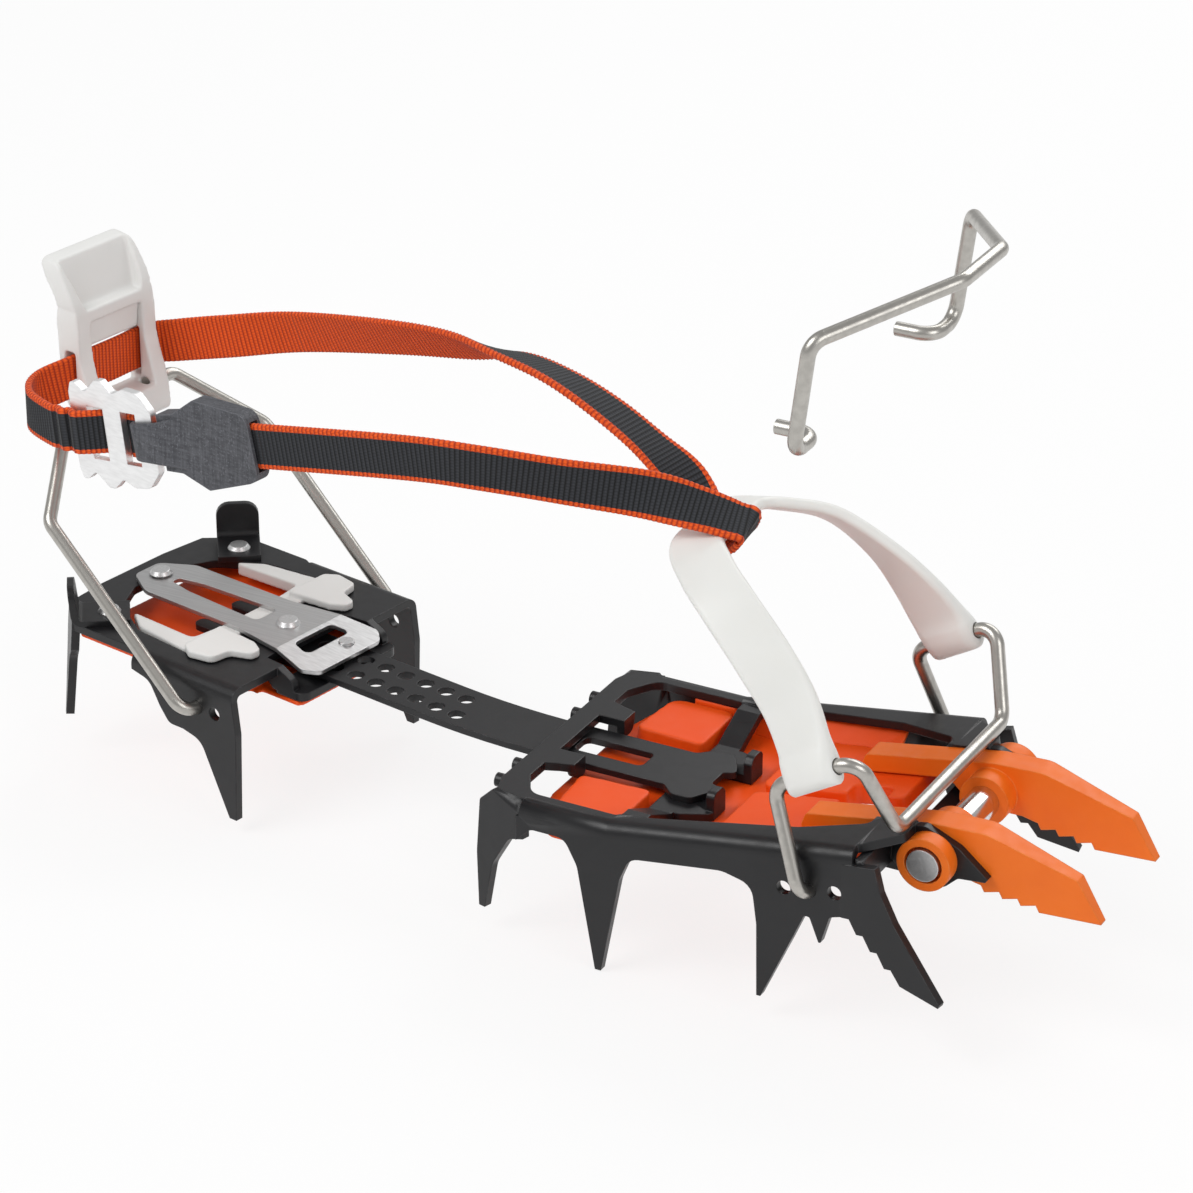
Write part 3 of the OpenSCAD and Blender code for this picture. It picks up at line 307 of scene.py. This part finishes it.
def woven(name, light, groove_shade):
    """Webbing yarn: painted shade darkens the grooves between the ribs and the gaps between the yarns
    of each rib, which lie side by side.
    """
    s = Shader(name)
    uv = s.add("ShaderNodeUVMap", uv_map="weave")
    axes = s.add("ShaderNodeSeparateXYZ")
    s.link(uv.outputs["UV"], axes.inputs[0])
    across, along = axes.outputs[0], axes.outputs[1]
    rib = s.wave(along, RIB_ROUND)
    shift = s.math("MULTIPLY", s.math("FLOOR", along), YARN_SHIFT)
    yarn = s.wave(s.math("ADD", s.math("MULTIPLY", across, YARNS_ACROSS), shift), RIB_ROUND)
    fuzz = s.noise(scale=2500, detail=2)
    height = s.math("MULTIPLY", rib, s.spread(yarn, low=0.0, high=1.0, out_low=YARN_LOW))
    painted_rib_shade_and_fuzz = s.math("ADD", s.math("MULTIPLY", height, RIB_PAINTED_SHADE), s.math("MULTIPLY", fuzz, FUZZ_SHADE))
    # Colour runs from the painted groove shade up to the yarn colour on the rib tops
    s.set(Base_Color=s.blend(s.spread(painted_rib_shade_and_fuzz, low=0.25, high=1.0), groove_shade, light), Sheen_Weight=0.1,
          Roughness=s.uneven(fuzz, low=0.6, high=0.8), Specular_IOR_Level=0.3)
    s.relief(height, strength=0.5, distance=0.15 * MM)
    return s.material


MATERIALS = {
    "coat": coated_steel(),
    "paint": painted_steel(),
    "plate": orange_plastic(),
    "wire": bare_steel("drawn_wire", WIRE_STEEL, smoothest=0.28, roughest=0.38, marks_scale=500),
    "turned": bare_steel("turned_steel", TURNED_STEEL, smoothest=0.32, roughest=0.46),
    "sleeve": bare_steel("sleeve_steel", TURNED_STEEL, smoothest=0.12, roughest=0.2, marks_scale=700),
    "buckle": bare_steel("buckle_steel", BUCKLE_STEEL, smoothest=0.38, roughest=0.5,
                         stretch=(0.06, 1, 1), contrast=0.92),
    "spring": bare_steel("brushed_steel", SPRING_STEEL, smoothest=0.34, roughest=0.48,
                         stretch=(0.04, 1, 1)),
    "white": white_plastic(),
    "milky": milky_rubber(),
    "tab": grey_rubber(),
    "yarn_black": woven("yarn_black", YARN_BLACK, YARN_BLACK_GROOVE_SHADE),
    "yarn_orange": woven("yarn_orange", YARN_ORANGE, YARN_ORANGE_GROOVE_SHADE),
}
FINISH = {
    "coat": ["front_plate", "antisnow_lugs", "linking_bar", "heel_plate", "heel_stop_right",
             "heel_stop_left"],
    "paint": ["front_point_right", "front_point_left", "point_rings"],
    "plate": ["front_antisnow", "heel_antisnow"],
    "wire": ["toe_wire", "heel_wire", "spare_wire"],
    "turned": ["point_bolt", "point_nut", "stop_rivets", "lock_rivet", "lock_stud"],
    "sleeve": ["point_sleeve"],
    "buckle": ["strap_buckle"],
    "spring": ["lock_spring"],
    "white": ["lock_slider", "lever_body", "lever_block"],
    "tab": ["strap_tab"],
}
# Moulded nodes that are shown with soft edges: voxel in millimetres and rounds of smoothing
SOFT_EDGES = {
    "front_antisnow": (0.45, 6),
    "heel_antisnow": (0.45, 6),
    "lock_slider": (0.35, 4),
    "lever_block": (0.35, 4),
}
SMOOTHING = 0.5


def soften(piece, voxel, rounds):
    remesh = piece.modifiers.new("even_faces", "REMESH")
    remesh.mode = "VOXEL"
    remesh.voxel_size = voxel * MM
    remesh.use_smooth_shade = True
    smooth = piece.modifiers.new("soft_edges", "SMOOTH")
    smooth.factor = SMOOTHING
    smooth.iterations = rounds


def dress_nodes():
    for finish, names in FINISH.items():
        for name in names:
            for slot in nodes[name].material_slots:
                slot.material = MATERIALS[finish]
    for name, (voxel, rounds) in SOFT_EDGES.items():
        soften(nodes[name], voxel, rounds)


# The heel's frame, which the bend of the bar turns, as in the CAD source

BAR_BEND = math.radians(11)
BAR_TANGENT, HEEL_REACH = 22.0, 131.5
BEND_COS, BEND_SIN = math.cos(BAR_BEND), math.sin(BAR_BEND)
HEEL = Vector((-BAR_TANGENT - HEEL_REACH * BEND_COS, HEEL_REACH * BEND_SIN, 0))


def heel_dir(x, y, z):
    return Vector((x * BEND_COS + y * BEND_SIN, y * BEND_COS - x * BEND_SIN, z))


def heel_point(x, y, z):
    return heel_dir(x, y, z) + HEEL


# Geometry helpers

# Distance in millimetres under which the corners of a CAD mesh are one
WELD_GAP = 0.001
# Angles in degrees over which an edge stays sharp, on sheet steel and on rubber
STEEL_CREASE, RUBBER_CREASE = 20, 50
# Radius of a flat section's round edges, as a share of its thickness, and points on each quarter
SECTION_ROUND, SECTION_POINTS = 0.42, 5


def share(value, low, high):
    """How far value lies between low and high, from 0 to 1."""
    return min(1.0, max(0.0, (value - low) / (high - low)))


def glide(points, steps):
    """Smooth run through points, each a tuple of Vectors that are carried along together."""
    run = []
    last = len(points) - 1
    for i in range(last):
        a, b, c, d = (points[max(0, min(last, i + k))] for k in (-1, 0, 1, 2))
        for k in range(steps):
            t = k / steps
            run.append(tuple(
                0.5 * (2 * q + (r - p) * t + (2 * p - 5 * q + 4 * r - s) * t * t
                       + (3 * q - p - 3 * r + s) * t ** 3)
                for p, q, r, s in zip(a, b, c, d)))
    run.append(points[last])
    return run


def heading(run, low, high):
    """Direction of a run, whose entries begin with a place, from before low to after high."""
    return run[min(high + 1, len(run) - 1)][0] - run[max(low - 1, 0)][0]


def square_to(ahead, width):
    """The width direction, turned square to the direction ahead."""
    return (width - ahead * (width.dot(ahead) / ahead.length_squared)).normalized()


def rounded_section(width, thick):
    """Ring of a flat section with round edges."""
    radius = thick * SECTION_ROUND
    ring = []
    for cx, cy, start in ((1, 1, 0), (-1, 1, 90), (-1, -1, 180), (1, -1, 270)):
        for k in range(SECTION_POINTS):
            angle = math.radians(start + 90 * k / (SECTION_POINTS - 1))
            ring.append((cx * (width / 2 - radius) + radius * math.cos(angle),
                         cy * (thick / 2 - radius) + radius * math.sin(angle)))
    return ring


def make_object(name, vertices, faces, materials, face_slots=None, smooth=True):
    mesh = bpy.data.meshes.new(name)
    mesh.from_pydata([tuple(v) for v in vertices], [], faces)
    for material in materials:
        mesh.materials.append(material)
    if face_slots:
        mesh.polygons.foreach_set("material_index", face_slots)
    mesh.polygons.foreach_set("use_smooth", [smooth] * len(mesh.polygons))
    mesh.update()
    piece = bpy.data.objects.new(name, mesh)
    bpy.context.scene.collection.objects.link(piece)
    return piece


def apply_modifiers(piece):
    graph = bpy.context.evaluated_depsgraph_get()
    mesh = bpy.data.meshes.new_from_object(piece.evaluated_get(graph))
    piece.modifiers.clear()
    piece.data = mesh


def copy_of(node, name, material):
    """A new object with a closed copy of a CAD node's mesh, to be reworked in its place."""
    source = nodes[node]
    welded = bmesh.new()
    welded.from_mesh(source.data)
    bmesh.ops.remove_doubles(welded, verts=welded.verts, dist=WELD_GAP * MM)
    mesh = bpy.data.meshes.new(name)
    welded.to_mesh(mesh)
    welded.free()
    mesh.materials.append(MATERIALS[material])
    piece = bpy.data.objects.new(name, mesh)
    piece.matrix_world = source.matrix_world.copy()
    bpy.context.scene.collection.objects.link(piece)
    return piece


def turn_outward(piece):
    outward = bmesh.new()
    outward.from_mesh(piece.data)
    bmesh.ops.recalc_face_normals(outward, faces=outward.faces)
    outward.to_mesh(piece.data)
    outward.free()


def tube(name, rings, material, smooth=True):
    """A closed form through rings of as many places each, in millimetres."""
    count = len(rings[0])
    vertices = [place * MM for ring in rings for place in ring]
    faces = []
    for i in range(len(rings) - 1):
        for k in range(count):
            m = (k + 1) % count
            faces.append((i * count + k, i * count + m, (i + 1) * count + m, (i + 1) * count + k))
    faces.append(tuple(reversed(range(count))))
    faces.append(tuple(range(len(vertices) - count, len(vertices))))
    piece = make_object(name, vertices, faces, [MATERIALS[material]], smooth=smooth)
    turn_outward(piece)
    return piece


def cut_away(piece, cutters, crease):
    """Takes the cutters out of the piece and keeps edges over the crease angle sharp."""
    for cutter in cutters:
        cut = piece.modifiers.new("cut", "BOOLEAN")
        cut.operation = "DIFFERENCE"
        cut.object = cutter
    apply_modifiers(piece)
    for cutter in cutters:
        bpy.data.objects.remove(cutter)
    mesh = piece.data
    mesh.polygons.foreach_set("use_smooth", [True] * len(mesh.polygons))
    mesh.set_sharp_from_angle(angle=math.radians(crease))


# Front plate: the strip between its windows is left out above the arms, so that the bar's head shows.
# The gap is half the outline of what is cut away, as sideways place and height

ARM_X, ARM_W, ARM_ROOM = 36.0, 7.0, 0.4
ARM_GAP = [(37.0, 4.0), (37.0, 0.03), (33.0, 0.03), (27.15, -2.66)]


def front_frame():
    piece = copy_of("front_plate", "front_frame", "coat")
    outline = ARM_GAP + [(-y, z) for y, z in reversed(ARM_GAP)]
    ends = (ARM_X - ARM_ROOM, ARM_X + ARM_W + ARM_ROOM)
    rings = [[Vector((x, y, z)) for y, z in outline] for x in ends]
    cut_away(piece, [tube("cutter", rings, "coat")], STEEL_CREASE)
    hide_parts("front_plate")
    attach(piece, "front_section")


# Rims of the front antisnow plate, which rise from its tray to the underside of the front plate. Each
# row gives x, then the inner and the outer edge as sideways place and height

RIM_T = 1.2
RIM_ROWS = [
    (35.5, (35.5, -8.8), (38.8, -2.8)),
    (48, (35, -8.8), (38.6, -0.9)),
    (56.5, (33, -8), (38, 0.4)),
    (60, (31, -4.2), (37.2, 1.0)),
    (70, (31, -2.6), (37, 2.6)),
    (80, (30.5, -1.1), (36.6, 4.1)),
    (88, (28, 0.2), (35.5, 5.4)),
]


def antisnow_rims():
    for name, side in (("antisnow_rim_right", -1), ("antisnow_rim_left", 1)):
        rings = []
        for x, (inner_y, inner_z), (outer_y, outer_z) in RIM_ROWS:
            ring = [(inner_y, inner_z), (outer_y, outer_z), (outer_y, outer_z - RIM_T),
                    (inner_y, inner_z - RIM_T)]
            rings.append([Vector((x, side * y, z)) for y, z in ring])
        piece = tube(name, rings, "plate", smooth=False)
        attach(piece, "front_section")


# Ankle webbing: one route from the buckle along the outer side, round the toe strap, back along the
# inner side, through the lever and to the buckle again, in millimetres as in the CAD source

WEB_W, WEB_T = 13.0, 1.6
# Top of the toe strap, with its width direction and its outward direction there
STRAP_APEX = Vector((47.5, 0, 76))
STRAP_LEAN = Vector((0.96, 0, 0.28))
STRAP_OUT = Vector((-0.28, 0, 0.96))
BUCKLE_Y, BUCKLE_T, TAB_Y, CLEAR = -41.1, 2.4, -39.4, 0.3
WEB_IN = BUCKLE_Y + BUCKLE_T / 2 + WEB_T / 2 + CLEAR
WEB_OUT = BUCKLE_Y - BUCKLE_T / 2 - WEB_T / 2 - CLEAR
# The fold round the toe strap, below and ahead of its top
WEB_BELOW, WEB_AHEAD = 4.0, 10.4
UNDER = STRAP_APEX - STRAP_OUT * WEB_BELOW
AHEAD = STRAP_APEX + STRAP_LEAN * WEB_AHEAD
SLOT_X, SLOT_Z = -19.75, 66.8


def by_heel(place, width):
    """One point of the route, given in the heel's frame."""
    return heel_point(*place), heel_dir(*width)


def by_toe(place, width):
    """One point of the route, given in the frame of the whole."""
    return Vector(place), Vector(width)


WEB_POINTS = [
    by_heel((28, WEB_IN, 69.7), (-0.1, 0, 1)),
    by_heel((39, WEB_IN, 71.6), (-0.18, 0, 1)),
    by_heel((47, TAB_Y, 73.7), (-0.22, 0, 1)),
    by_heel((80, TAB_Y, 81.4), (-0.22, 0, 1)),
    by_toe((-32, -33.5, 90.3), (-0.1, 0, 1)),
    by_toe((-9.7, -32, 91.5), (-0.02, 0, 1)),
    by_toe((10.9, -25, 89.3), (0.1, 0.05, 1)),
    by_toe((31.3, -16, 86.4), (0.1, 0.4, 0.9)),
    by_toe((45, -11, 83.2), (0, 0.82, 0.57)),
    by_toe((AHEAD.x - 4, -8, AHEAD.z + 1.7), (0, 0.94, 0.34)),
    by_toe((AHEAD.x, -6, AHEAD.z - 0.4), (0, 0.97, 0.22)),
    by_toe((AHEAD.x - 3, -4, AHEAD.z - 5.4), (0, 0.98, 0.15)),
    by_toe((UNDER.x, -1, UNDER.z - 0.5), (0, 1, 0.05)),
    by_toe((37.5, 9.5, 69), (0.3, 0, -1)),
    by_toe((28, 14.5, 77.5), (-0.2, -0.9, -0.5)),
    by_toe((16, 18, 83.5), (-0.2, -0.97, -0.05)),
    by_toe((1, 20.5, 90.4), (-0.15, -0.99, 0.03)),
    by_toe((-15.7, 23.5, 95.4), (-0.18, -0.97, 0.16)),
    by_toe((-33.4, 28, 96.4), (-0.26, -0.92, 0.28)),
    by_heel((94.3, 26.9, 93.6), (-0.16, -0.64, 0.75)),
    by_heel((68, 27.9, 88.7), (-0.22, -0.43, 0.88)),
    by_heel((29.4, 30, 79.2), (-0.24, -0.18, 0.95)),
    by_heel((4.6, 26, 72.5), (-0.2, 0, 1)),
    by_heel((-12.5, 22, 68), (-0.1, 0, 1)),
    by_heel((SLOT_X, 16, SLOT_Z), (0, 0, 1)),
    by_heel((SLOT_X, 0, SLOT_Z), (0, 0, 1)),
    by_heel((SLOT_X, -16, SLOT_Z), (0, 0, 1)),
    by_heel((-22, -28, 65), (0, 0, 1)),
    by_heel((-14, -38, 65.5), (0, 0, 1)),
    by_heel((0, WEB_OUT, 66.6), (-0.08, 0, 1)),
    by_heel((3.5, WEB_OUT, 67), (-0.08, 0, 1)),
    by_heel((6.3, WEB_OUT - 1.3, 67.4), (-0.1, 0, 1)),
    by_heel((8.6, WEB_OUT, 67.7), (-0.1, 0, 1)),
    by_heel((11.4, WEB_OUT - 1.4, 68), (-0.1, 0, 1)),
    by_heel((14.2, WEB_OUT, 68.3), (-0.1, 0, 1)),
    by_heel((21, WEB_IN, 69), (-0.1, 0, 1)),
    by_heel((26.6, WEB_IN, 69.6), (-0.1, 0, 1)),
]
# Entries of that list where one piece of the webbing meets the next, on the way there and back
OUTER_TAB, OUTER_HEEL, OUTER_TOE = 3, 4, 6
INNER_TOE, INNER_HEEL, INNER_LEVER = 15, 18, 21
WEB_STEPS = 60
RIB_PITCH, RIB_HEIGHT = 1.45, 0.3
RINGS_PER_RIB = 6
# Rows of points along each border of a face, by distance from the edge; the black begins at the last
BORDER_ROWS = (0.35, 0.9, 1.5)
FACE_PARTS = 3
# Round of the edge, its height as a share of the half thickness, and how far a rib swells out there
EDGE_ROUND, EDGE_SHARE, EDGE_SWELL = 0.1, 0.55, 0.14
BLACK_SLOT, ORANGE_SLOT = 0, 1


class Webbing:
    """The whole route, measured along its length, from which each piece takes its stretches."""

    def __init__(self):
        run = glide(WEB_POINTS, WEB_STEPS)
        self.lengths = [0.0]
        for (a, _), (b, _) in zip(run, run[1:]):
            self.lengths.append(self.lengths[-1] + (b - a).length)
        self.run = run

    def at_point(self, index):
        """Length along the route at an entry of WEB_POINTS."""
        return self.lengths[index * WEB_STEPS]

    def sample(self, length):
        """Place, width direction and face direction at a length along the route."""
        low, high = 0, len(self.lengths) - 1
        while high - low > 1:
            middle = (low + high) // 2
            low, high = (middle, high) if self.lengths[middle] <= length else (low, middle)
        t = share(length, self.lengths[low], self.lengths[high])
        (a, wa), (b, wb) = self.run[low], self.run[high]
        ahead = heading(self.run, low, high)
        width = square_to(ahead, wa.lerp(wb, t))
        return a.lerp(b, t), width, ahead.cross(width).normalized()


def web_section():
    """Across and thickness places of one ring of the webbing, and how many of them lie on one face."""
    half, thick = WEB_W / 2, WEB_T / 2
    border = [half - row for row in BORDER_ROWS]
    middle = [border[-1] * k / FACE_PARTS for k in range(FACE_PARTS - 1, -FACE_PARTS, -1)]
    across = border + middle + [-a for a in reversed(border)]
    beside, height = EDGE_ROUND - half, EDGE_SHARE * thick
    edge = [(beside, height), (-half, 0), (beside, -height)]
    outer = [(a, thick) for a in across]
    under = [(-a, -thick) for a in across]
    return outer + edge + under + [(-a, -b) for a, b in edge], len(across)


def weave(name, webbing, spans):
    """One piece of webbing with ribs, orange borders and one black face. Each span is a stretch of the
    route, from one entry of WEB_POINTS to another."""
    section, face_points = web_section()
    count = len(section)
    first_black, last_black = len(BORDER_ROWS) - 1, face_points - len(BORDER_ROWS) - 1
    across_uv = [a / WEB_W + 0.5 for a, _ in section]
    vertices, faces, slots, corner_uv = [], [], [], []
    for first, last in spans:
        start, stop = webbing.at_point(first), webbing.at_point(last)
        ribs = max(1, round((stop - start) / RIB_PITCH))
        rings = ribs * RINGS_PER_RIB
        base = len(vertices)
        for i in range(rings + 1):
            place, width, face = webbing.sample(start + (stop - start) * i / rings)
            rib = abs(math.sin(math.pi * i / RINGS_PER_RIB)) ** RIB_ROUND
            for a, b in section:
                on_edge = abs(b) < WEB_T / 2
                side = a + math.copysign(EDGE_SWELL * rib, a) if on_edge else a
                depth = b if on_edge else b + math.copysign(RIB_HEIGHT * (rib - 1), b)
                vertices.append((place + width * side + face * depth) * MM)
        for i in range(rings):
            v0, v1 = i / RINGS_PER_RIB, (i + 1) / RINGS_PER_RIB
            for k in range(count):
                m = (k + 1) % count
                faces.append((base + i * count + k, base + i * count + m,
                              base + (i + 1) * count + m, base + (i + 1) * count + k))
                u0, u1 = across_uv[k], across_uv[m]
                corner_uv.extend(((u0, v0), (u1, v0), (u1, v1), (u0, v1)))
                slots.append(BLACK_SLOT if first_black <= k <= last_black else ORANGE_SLOT)
        tail = base + rings * count
        for ring, order in ((base, range(count - 1, -1, -1)), (tail, range(count))):
            faces.append(tuple(ring + k for k in order))
            corner_uv.extend((across_uv[k], 0.0) for k in order)
            slots.append(ORANGE_SLOT)
    yarns = [MATERIALS["yarn_black"], MATERIALS["yarn_orange"]]
    piece = make_object(name, vertices, faces, yarns, slots)
    layer = piece.data.uv_layers.new(name="weave")
    layer.data.foreach_set("uv", [value for pair in corner_uv for value in pair])
    return piece


def ankle_strap():
    webbing = Webbing()
    last = len(WEB_POINTS) - 1
    loop = weave("webbing_toe_loop", webbing, [(OUTER_TOE, INNER_TOE)])
    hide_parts("strap_toe_loop")
    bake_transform(loop)
    sides = weave("webbing_sides", webbing, [(OUTER_HEEL, OUTER_TOE), (INNER_TOE, INNER_HEEL)])
    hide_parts("strap_sides")
    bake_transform(sides)
    rear = weave("webbing_rear", webbing, [(OUTER_TAB, OUTER_HEEL), (INNER_HEEL, INNER_LEVER)])
    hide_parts("strap_rear")
    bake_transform(rear)
    lever = weave("webbing_lever", webbing, [(0, OUTER_TAB), (INNER_LEVER, last)])
    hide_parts("strap_lever")
    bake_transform(lever)


# Tongue of the grey tab, which lies over the buckle's front bar and goes into its slot. Each row gives
# x and y in the heel's frame, height of the middle and half the width

TONGUE_T, TONGUE_STEPS = 1.6, 6
TONGUE_LEAN = (-0.21, 0, 0.98)
TONGUE_ROWS = [
    (56, -40.8, 75.8, 8.6),
    (48, -42.2, 74.0, 7.2),
    (43, -43.2, 72.8, 6.3),
    (38, -43.5, 71.7, 5.8),
    (34.6, -43.3, 70.9, 5.6),
    (33.1, -42.4, 70.6, 5.5),
    (32.5, -40.9, 70.5, 5.4),
]


def tab_tongue():
    lean = heel_dir(*TONGUE_LEAN)
    rows = [(heel_point(x, y, z), Vector((half, 0, 0))) for x, y, z, half in TONGUE_ROWS]
    run = glide(rows, TONGUE_STEPS)
    rings = []
    for i, (place, half) in enumerate(run):
        face = heading(run, i, i).cross(lean).normalized()
        rings.append([place + lean * a + face * b for a, b in rounded_section(2 * half.x, TONGUE_T)])
    piece = tube("tab_tongue", rings, "tab")
    piece.data.set_sharp_from_angle(angle=math.radians(RUBBER_CREASE))
    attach(piece, "heel_bail")


# Toe strap: one moulded band over the instep, thickened at both ends round the wire

TOE_LOOP = Vector((96.5, 44.5, 32))
TOE_LOOP_DIR = Vector((0.866, 0, 0.5))
TOE_END_DIR = Vector((0.48, 0.276, -0.833))
TOE_STRAP_W, TOE_STRAP_T, TOE_STEPS = 15.4, 3.4, 14
EYE_R, EYE_REACH, EYE_SIDES = 2.35, 16.0, 32
# Inner half of the strap: place, width direction, width and thickness
TOE_HALF = [
    ((46.6, 14, 74.6), (0.9, -0.3, 0.3), TOE_STRAP_W, TOE_STRAP_T),
    ((54.6, 24, 72), (0.62, -0.66, 0.42), TOE_STRAP_W, TOE_STRAP_T),
    ((65, 32, 68), (0.56, -0.69, 0.46), TOE_STRAP_W, TOE_STRAP_T),
    ((77.2, 36.8, 58.5), (0.66, -0.55, 0.5), 15.6, TOE_STRAP_T),
    ((86.6, 39.4, 48.3), (0.8, -0.25, 0.52), 15.8, 3.7),
]
# Its eye: distance past the wire, width and thickness
TOE_EYE = [(-8.6, 16.2, 5.0), (-4.2, 16.6, 7.8), (-1, 16.6, 9.2), (2, 16.4, 8.6), (3.6, 15.8, 6.4),
           (4.5, 14.2, 3.2)]


def toe_strap_run():
    """Places, width directions and (width, thickness) along the strap, in millimetres."""
    far = [(Vector(place), Vector(lean), Vector((width, thick, 0)))
           for place, lean, width, thick in TOE_HALF]
    far += [(TOE_LOOP + TOE_END_DIR * past, TOE_LOOP_DIR, Vector((width, thick, 0)))
            for past, width, thick in TOE_EYE]
    middle = [(STRAP_APEX, STRAP_LEAN, Vector((TOE_STRAP_W, TOE_STRAP_T, 0)))]

    def flip(entry):
        place, lean, size = entry
        return Vector((place.x, -place.y, place.z)), Vector((lean.x, -lean.y, lean.z)), size

    near = [flip(entry) for entry in reversed(far)]
    return glide(near + middle + far, TOE_STEPS)


def eye_cutter(side):
    """A round bar along one loop of the wire, a little thicker than the wire."""
    across = Vector((0, 1, 0))
    up = TOE_LOOP_DIR.cross(across)
    middle = Vector((TOE_LOOP.x, side * TOE_LOOP.y, TOE_LOOP.z))
    angles = [2 * math.pi * k / EYE_SIDES for k in range(EYE_SIDES)]
    spokes = [(across * math.cos(angle) + up * math.sin(angle)) * EYE_R for angle in angles]
    rings = [[middle + TOE_LOOP_DIR * reach + spoke for spoke in spokes]
             for reach in (-EYE_REACH, EYE_REACH)]
    return tube("cutter", rings, "milky")


def toe_strap():
    run = toe_strap_run()
    rings = []
    for i, (place, lean, size) in enumerate(run):
        ahead = heading(run, i, i)
        width = square_to(ahead, lean)
        face = ahead.cross(width).normalized()
        rings.append([place + width * a + face * b for a, b in rounded_section(size.x, size.y)])
    piece = tube("toe_band", rings, "milky")
    cut_away(piece, [eye_cutter(side) for side in (-1, 1)], RUBBER_CREASE)
    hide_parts("toe_strap")
    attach(piece, "toe_bail")


# Heel lever: its solid with soft edges, a slimmer waist behind, and a top that keeps its width, with
# the thumb rim swept back and rounded at its corners. Places are in the heel's frame

LEVER_VOXEL, LEVER_ROUNDS = 0.4, 12
LEVER_TOP_Z, LEVER_BEND_Z = 102.5, 80.0
LEVER_SWEEP, LEVER_FLAT_HALF, LEVER_CORNER_DROP = 4.4, 9.0, 0.015
LEVER_TAPER_Z, LEVER_WIDEN, LEVER_WIDEN_EASE = 88.0, 0.22, 0.7
LEVER_MIDDLE_X, LEVER_BACK_X, LEVER_WAIST = -20.5, -25.5, 1.6
LEVER_WAIST_LOW, LEVER_WAIST_HIGH = 82.0, 98.0


def lever():
    piece = copy_of("lever_body", "lever_shell", "white")
    soften(piece, LEVER_VOXEL, LEVER_ROUNDS)
    apply_modifiers(piece)
    along, sideways = heel_dir(1, 0, 0), heel_dir(0, 1, 0)
    for vertex in piece.data.vertices:
        place = vertex.co / MM
        back, off = (place - HEEL).dot(along), (place - HEEL).dot(sideways)
        rise = share(place.z, LEVER_BEND_Z, LEVER_TOP_Z)
        waist = share(place.z, LEVER_WAIST_LOW, LEVER_WAIST_HIGH)
        behind = share(back, LEVER_MIDDLE_X, LEVER_BACK_X)
        ahead = LEVER_WAIST * math.sin(math.pi * waist) ** 2 * behind
        wider = off * LEVER_WIDEN * share(place.z, LEVER_TAPER_Z, LEVER_TOP_Z) ** LEVER_WIDEN_EASE
        drop = LEVER_CORNER_DROP * max(0.0, abs(off) - LEVER_FLAT_HALF) ** 2 * rise
        vertex.co += heel_dir(ahead - LEVER_SWEEP * rise ** 2, wider, -drop) * MM
    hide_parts("lever_body")
    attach(piece, "heel_lever")


# Studio: pale floor, soft light, and the camera of the photograph

FLOOR_Z, FLOOR_HALF = -46.5 * MM, 6.0
PAPER, PAPER_GLOW = (0.9, 0.9, 0.9, 1), 0.82
SKY, SKY_STRENGTH = (1, 1, 1, 1), 0.48
LIT_PLACE = (-0.02, 0.0, 0.03)
# Place, width and height in metres, and power in watts
LAMPS = {
    "key": ((-0.7, -0.9, 1.3), (0.9, 0.9), 13.5),
    "fill": ((1.2, -0.5, 0.8), (0.8, 0.8), 5),
    "back": ((0.1, 1.2, 1.0), (1.2, 0.5), 7),
}
CAMERA_PLACE = Vector((0.5298, -0.9682, 0.5893))
CAMERA_SIGHT = Vector((-0.4247, 0.7887, -0.4446))
LENS, SENSOR, NEAR_CLIP = 134.37, 36.0, 0.05


def floor():
    signs = ((-1, -1), (1, -1), (1, 1), (-1, 1))
    corners = [(x * FLOOR_HALF, y * FLOOR_HALF, FLOOR_Z) for x, y in signs]
    piece = make_object("studio_floor", corners, [(0, 1, 2, 3)], [])
    s = Shader("studio_paper")
    s.set(Base_Color=PAPER, Roughness=0.9)
    path = s.add("ShaderNodeLightPath").outputs
    mirrored = s.math("MAXIMUM", path["Is Glossy Ray"], path["Is Transmission Ray"])
    seen = s.math("MAXIMUM", path["Is Camera Ray"], mirrored)
    mix = s.add("ShaderNodeMixShader")
    s.link(s.math("MULTIPLY", seen, PAPER_GLOW), mix.inputs["Fac"])
    s.link(s.surface.outputs["BSDF"], mix.inputs[1])
    s.link(s.add("ShaderNodeEmission").outputs["Emission"], mix.inputs[2])
    s.link(mix.outputs["Shader"], s.tree.nodes["Material Output"].inputs["Surface"])
    piece.data.materials.append(s.material)


def softbox(name, place, size, power):
    light = bpy.data.lights.new(name, "AREA")
    light.shape = "RECTANGLE"
    light.size, light.size_y = size
    light.energy = power
    lamp = bpy.data.objects.new(name, light)
    lamp.location = place
    lamp.rotation_euler = (Vector(LIT_PLACE) - Vector(place)).to_track_quat("-Z", "Y").to_euler()
    bpy.context.scene.collection.objects.link(lamp)


def studio():
    floor()
    world = bpy.data.worlds.new("studio")
    bpy.context.scene.world = world
    world.use_nodes = True
    sky = world.node_tree.nodes["Background"]
    sky.inputs["Color"].default_value = SKY
    sky.inputs["Strength"].default_value = SKY_STRENGTH
    for name, (place, size, power) in LAMPS.items():
        softbox(name, place, size, power)


def camera():
    data = bpy.data.cameras.new("photo_camera")
    data.sensor_fit = "HORIZONTAL"
    data.sensor_width = SENSOR
    data.lens = LENS
    data.clip_start = NEAR_CLIP
    viewer = bpy.data.objects.new("photo_camera", data)
    viewer.location = CAMERA_PLACE
    viewer.rotation_euler = CAMERA_SIGHT.to_track_quat("-Z", "Y").to_euler()
    bpy.context.scene.collection.objects.link(viewer)
    bpy.context.scene.camera = viewer


bpy.context.scene.view_settings.view_transform = "Standard"
dress_nodes()
front_frame()
antisnow_rims()
ankle_strap()
tab_tongue()
toe_strap()
lever()
studio()
camera()
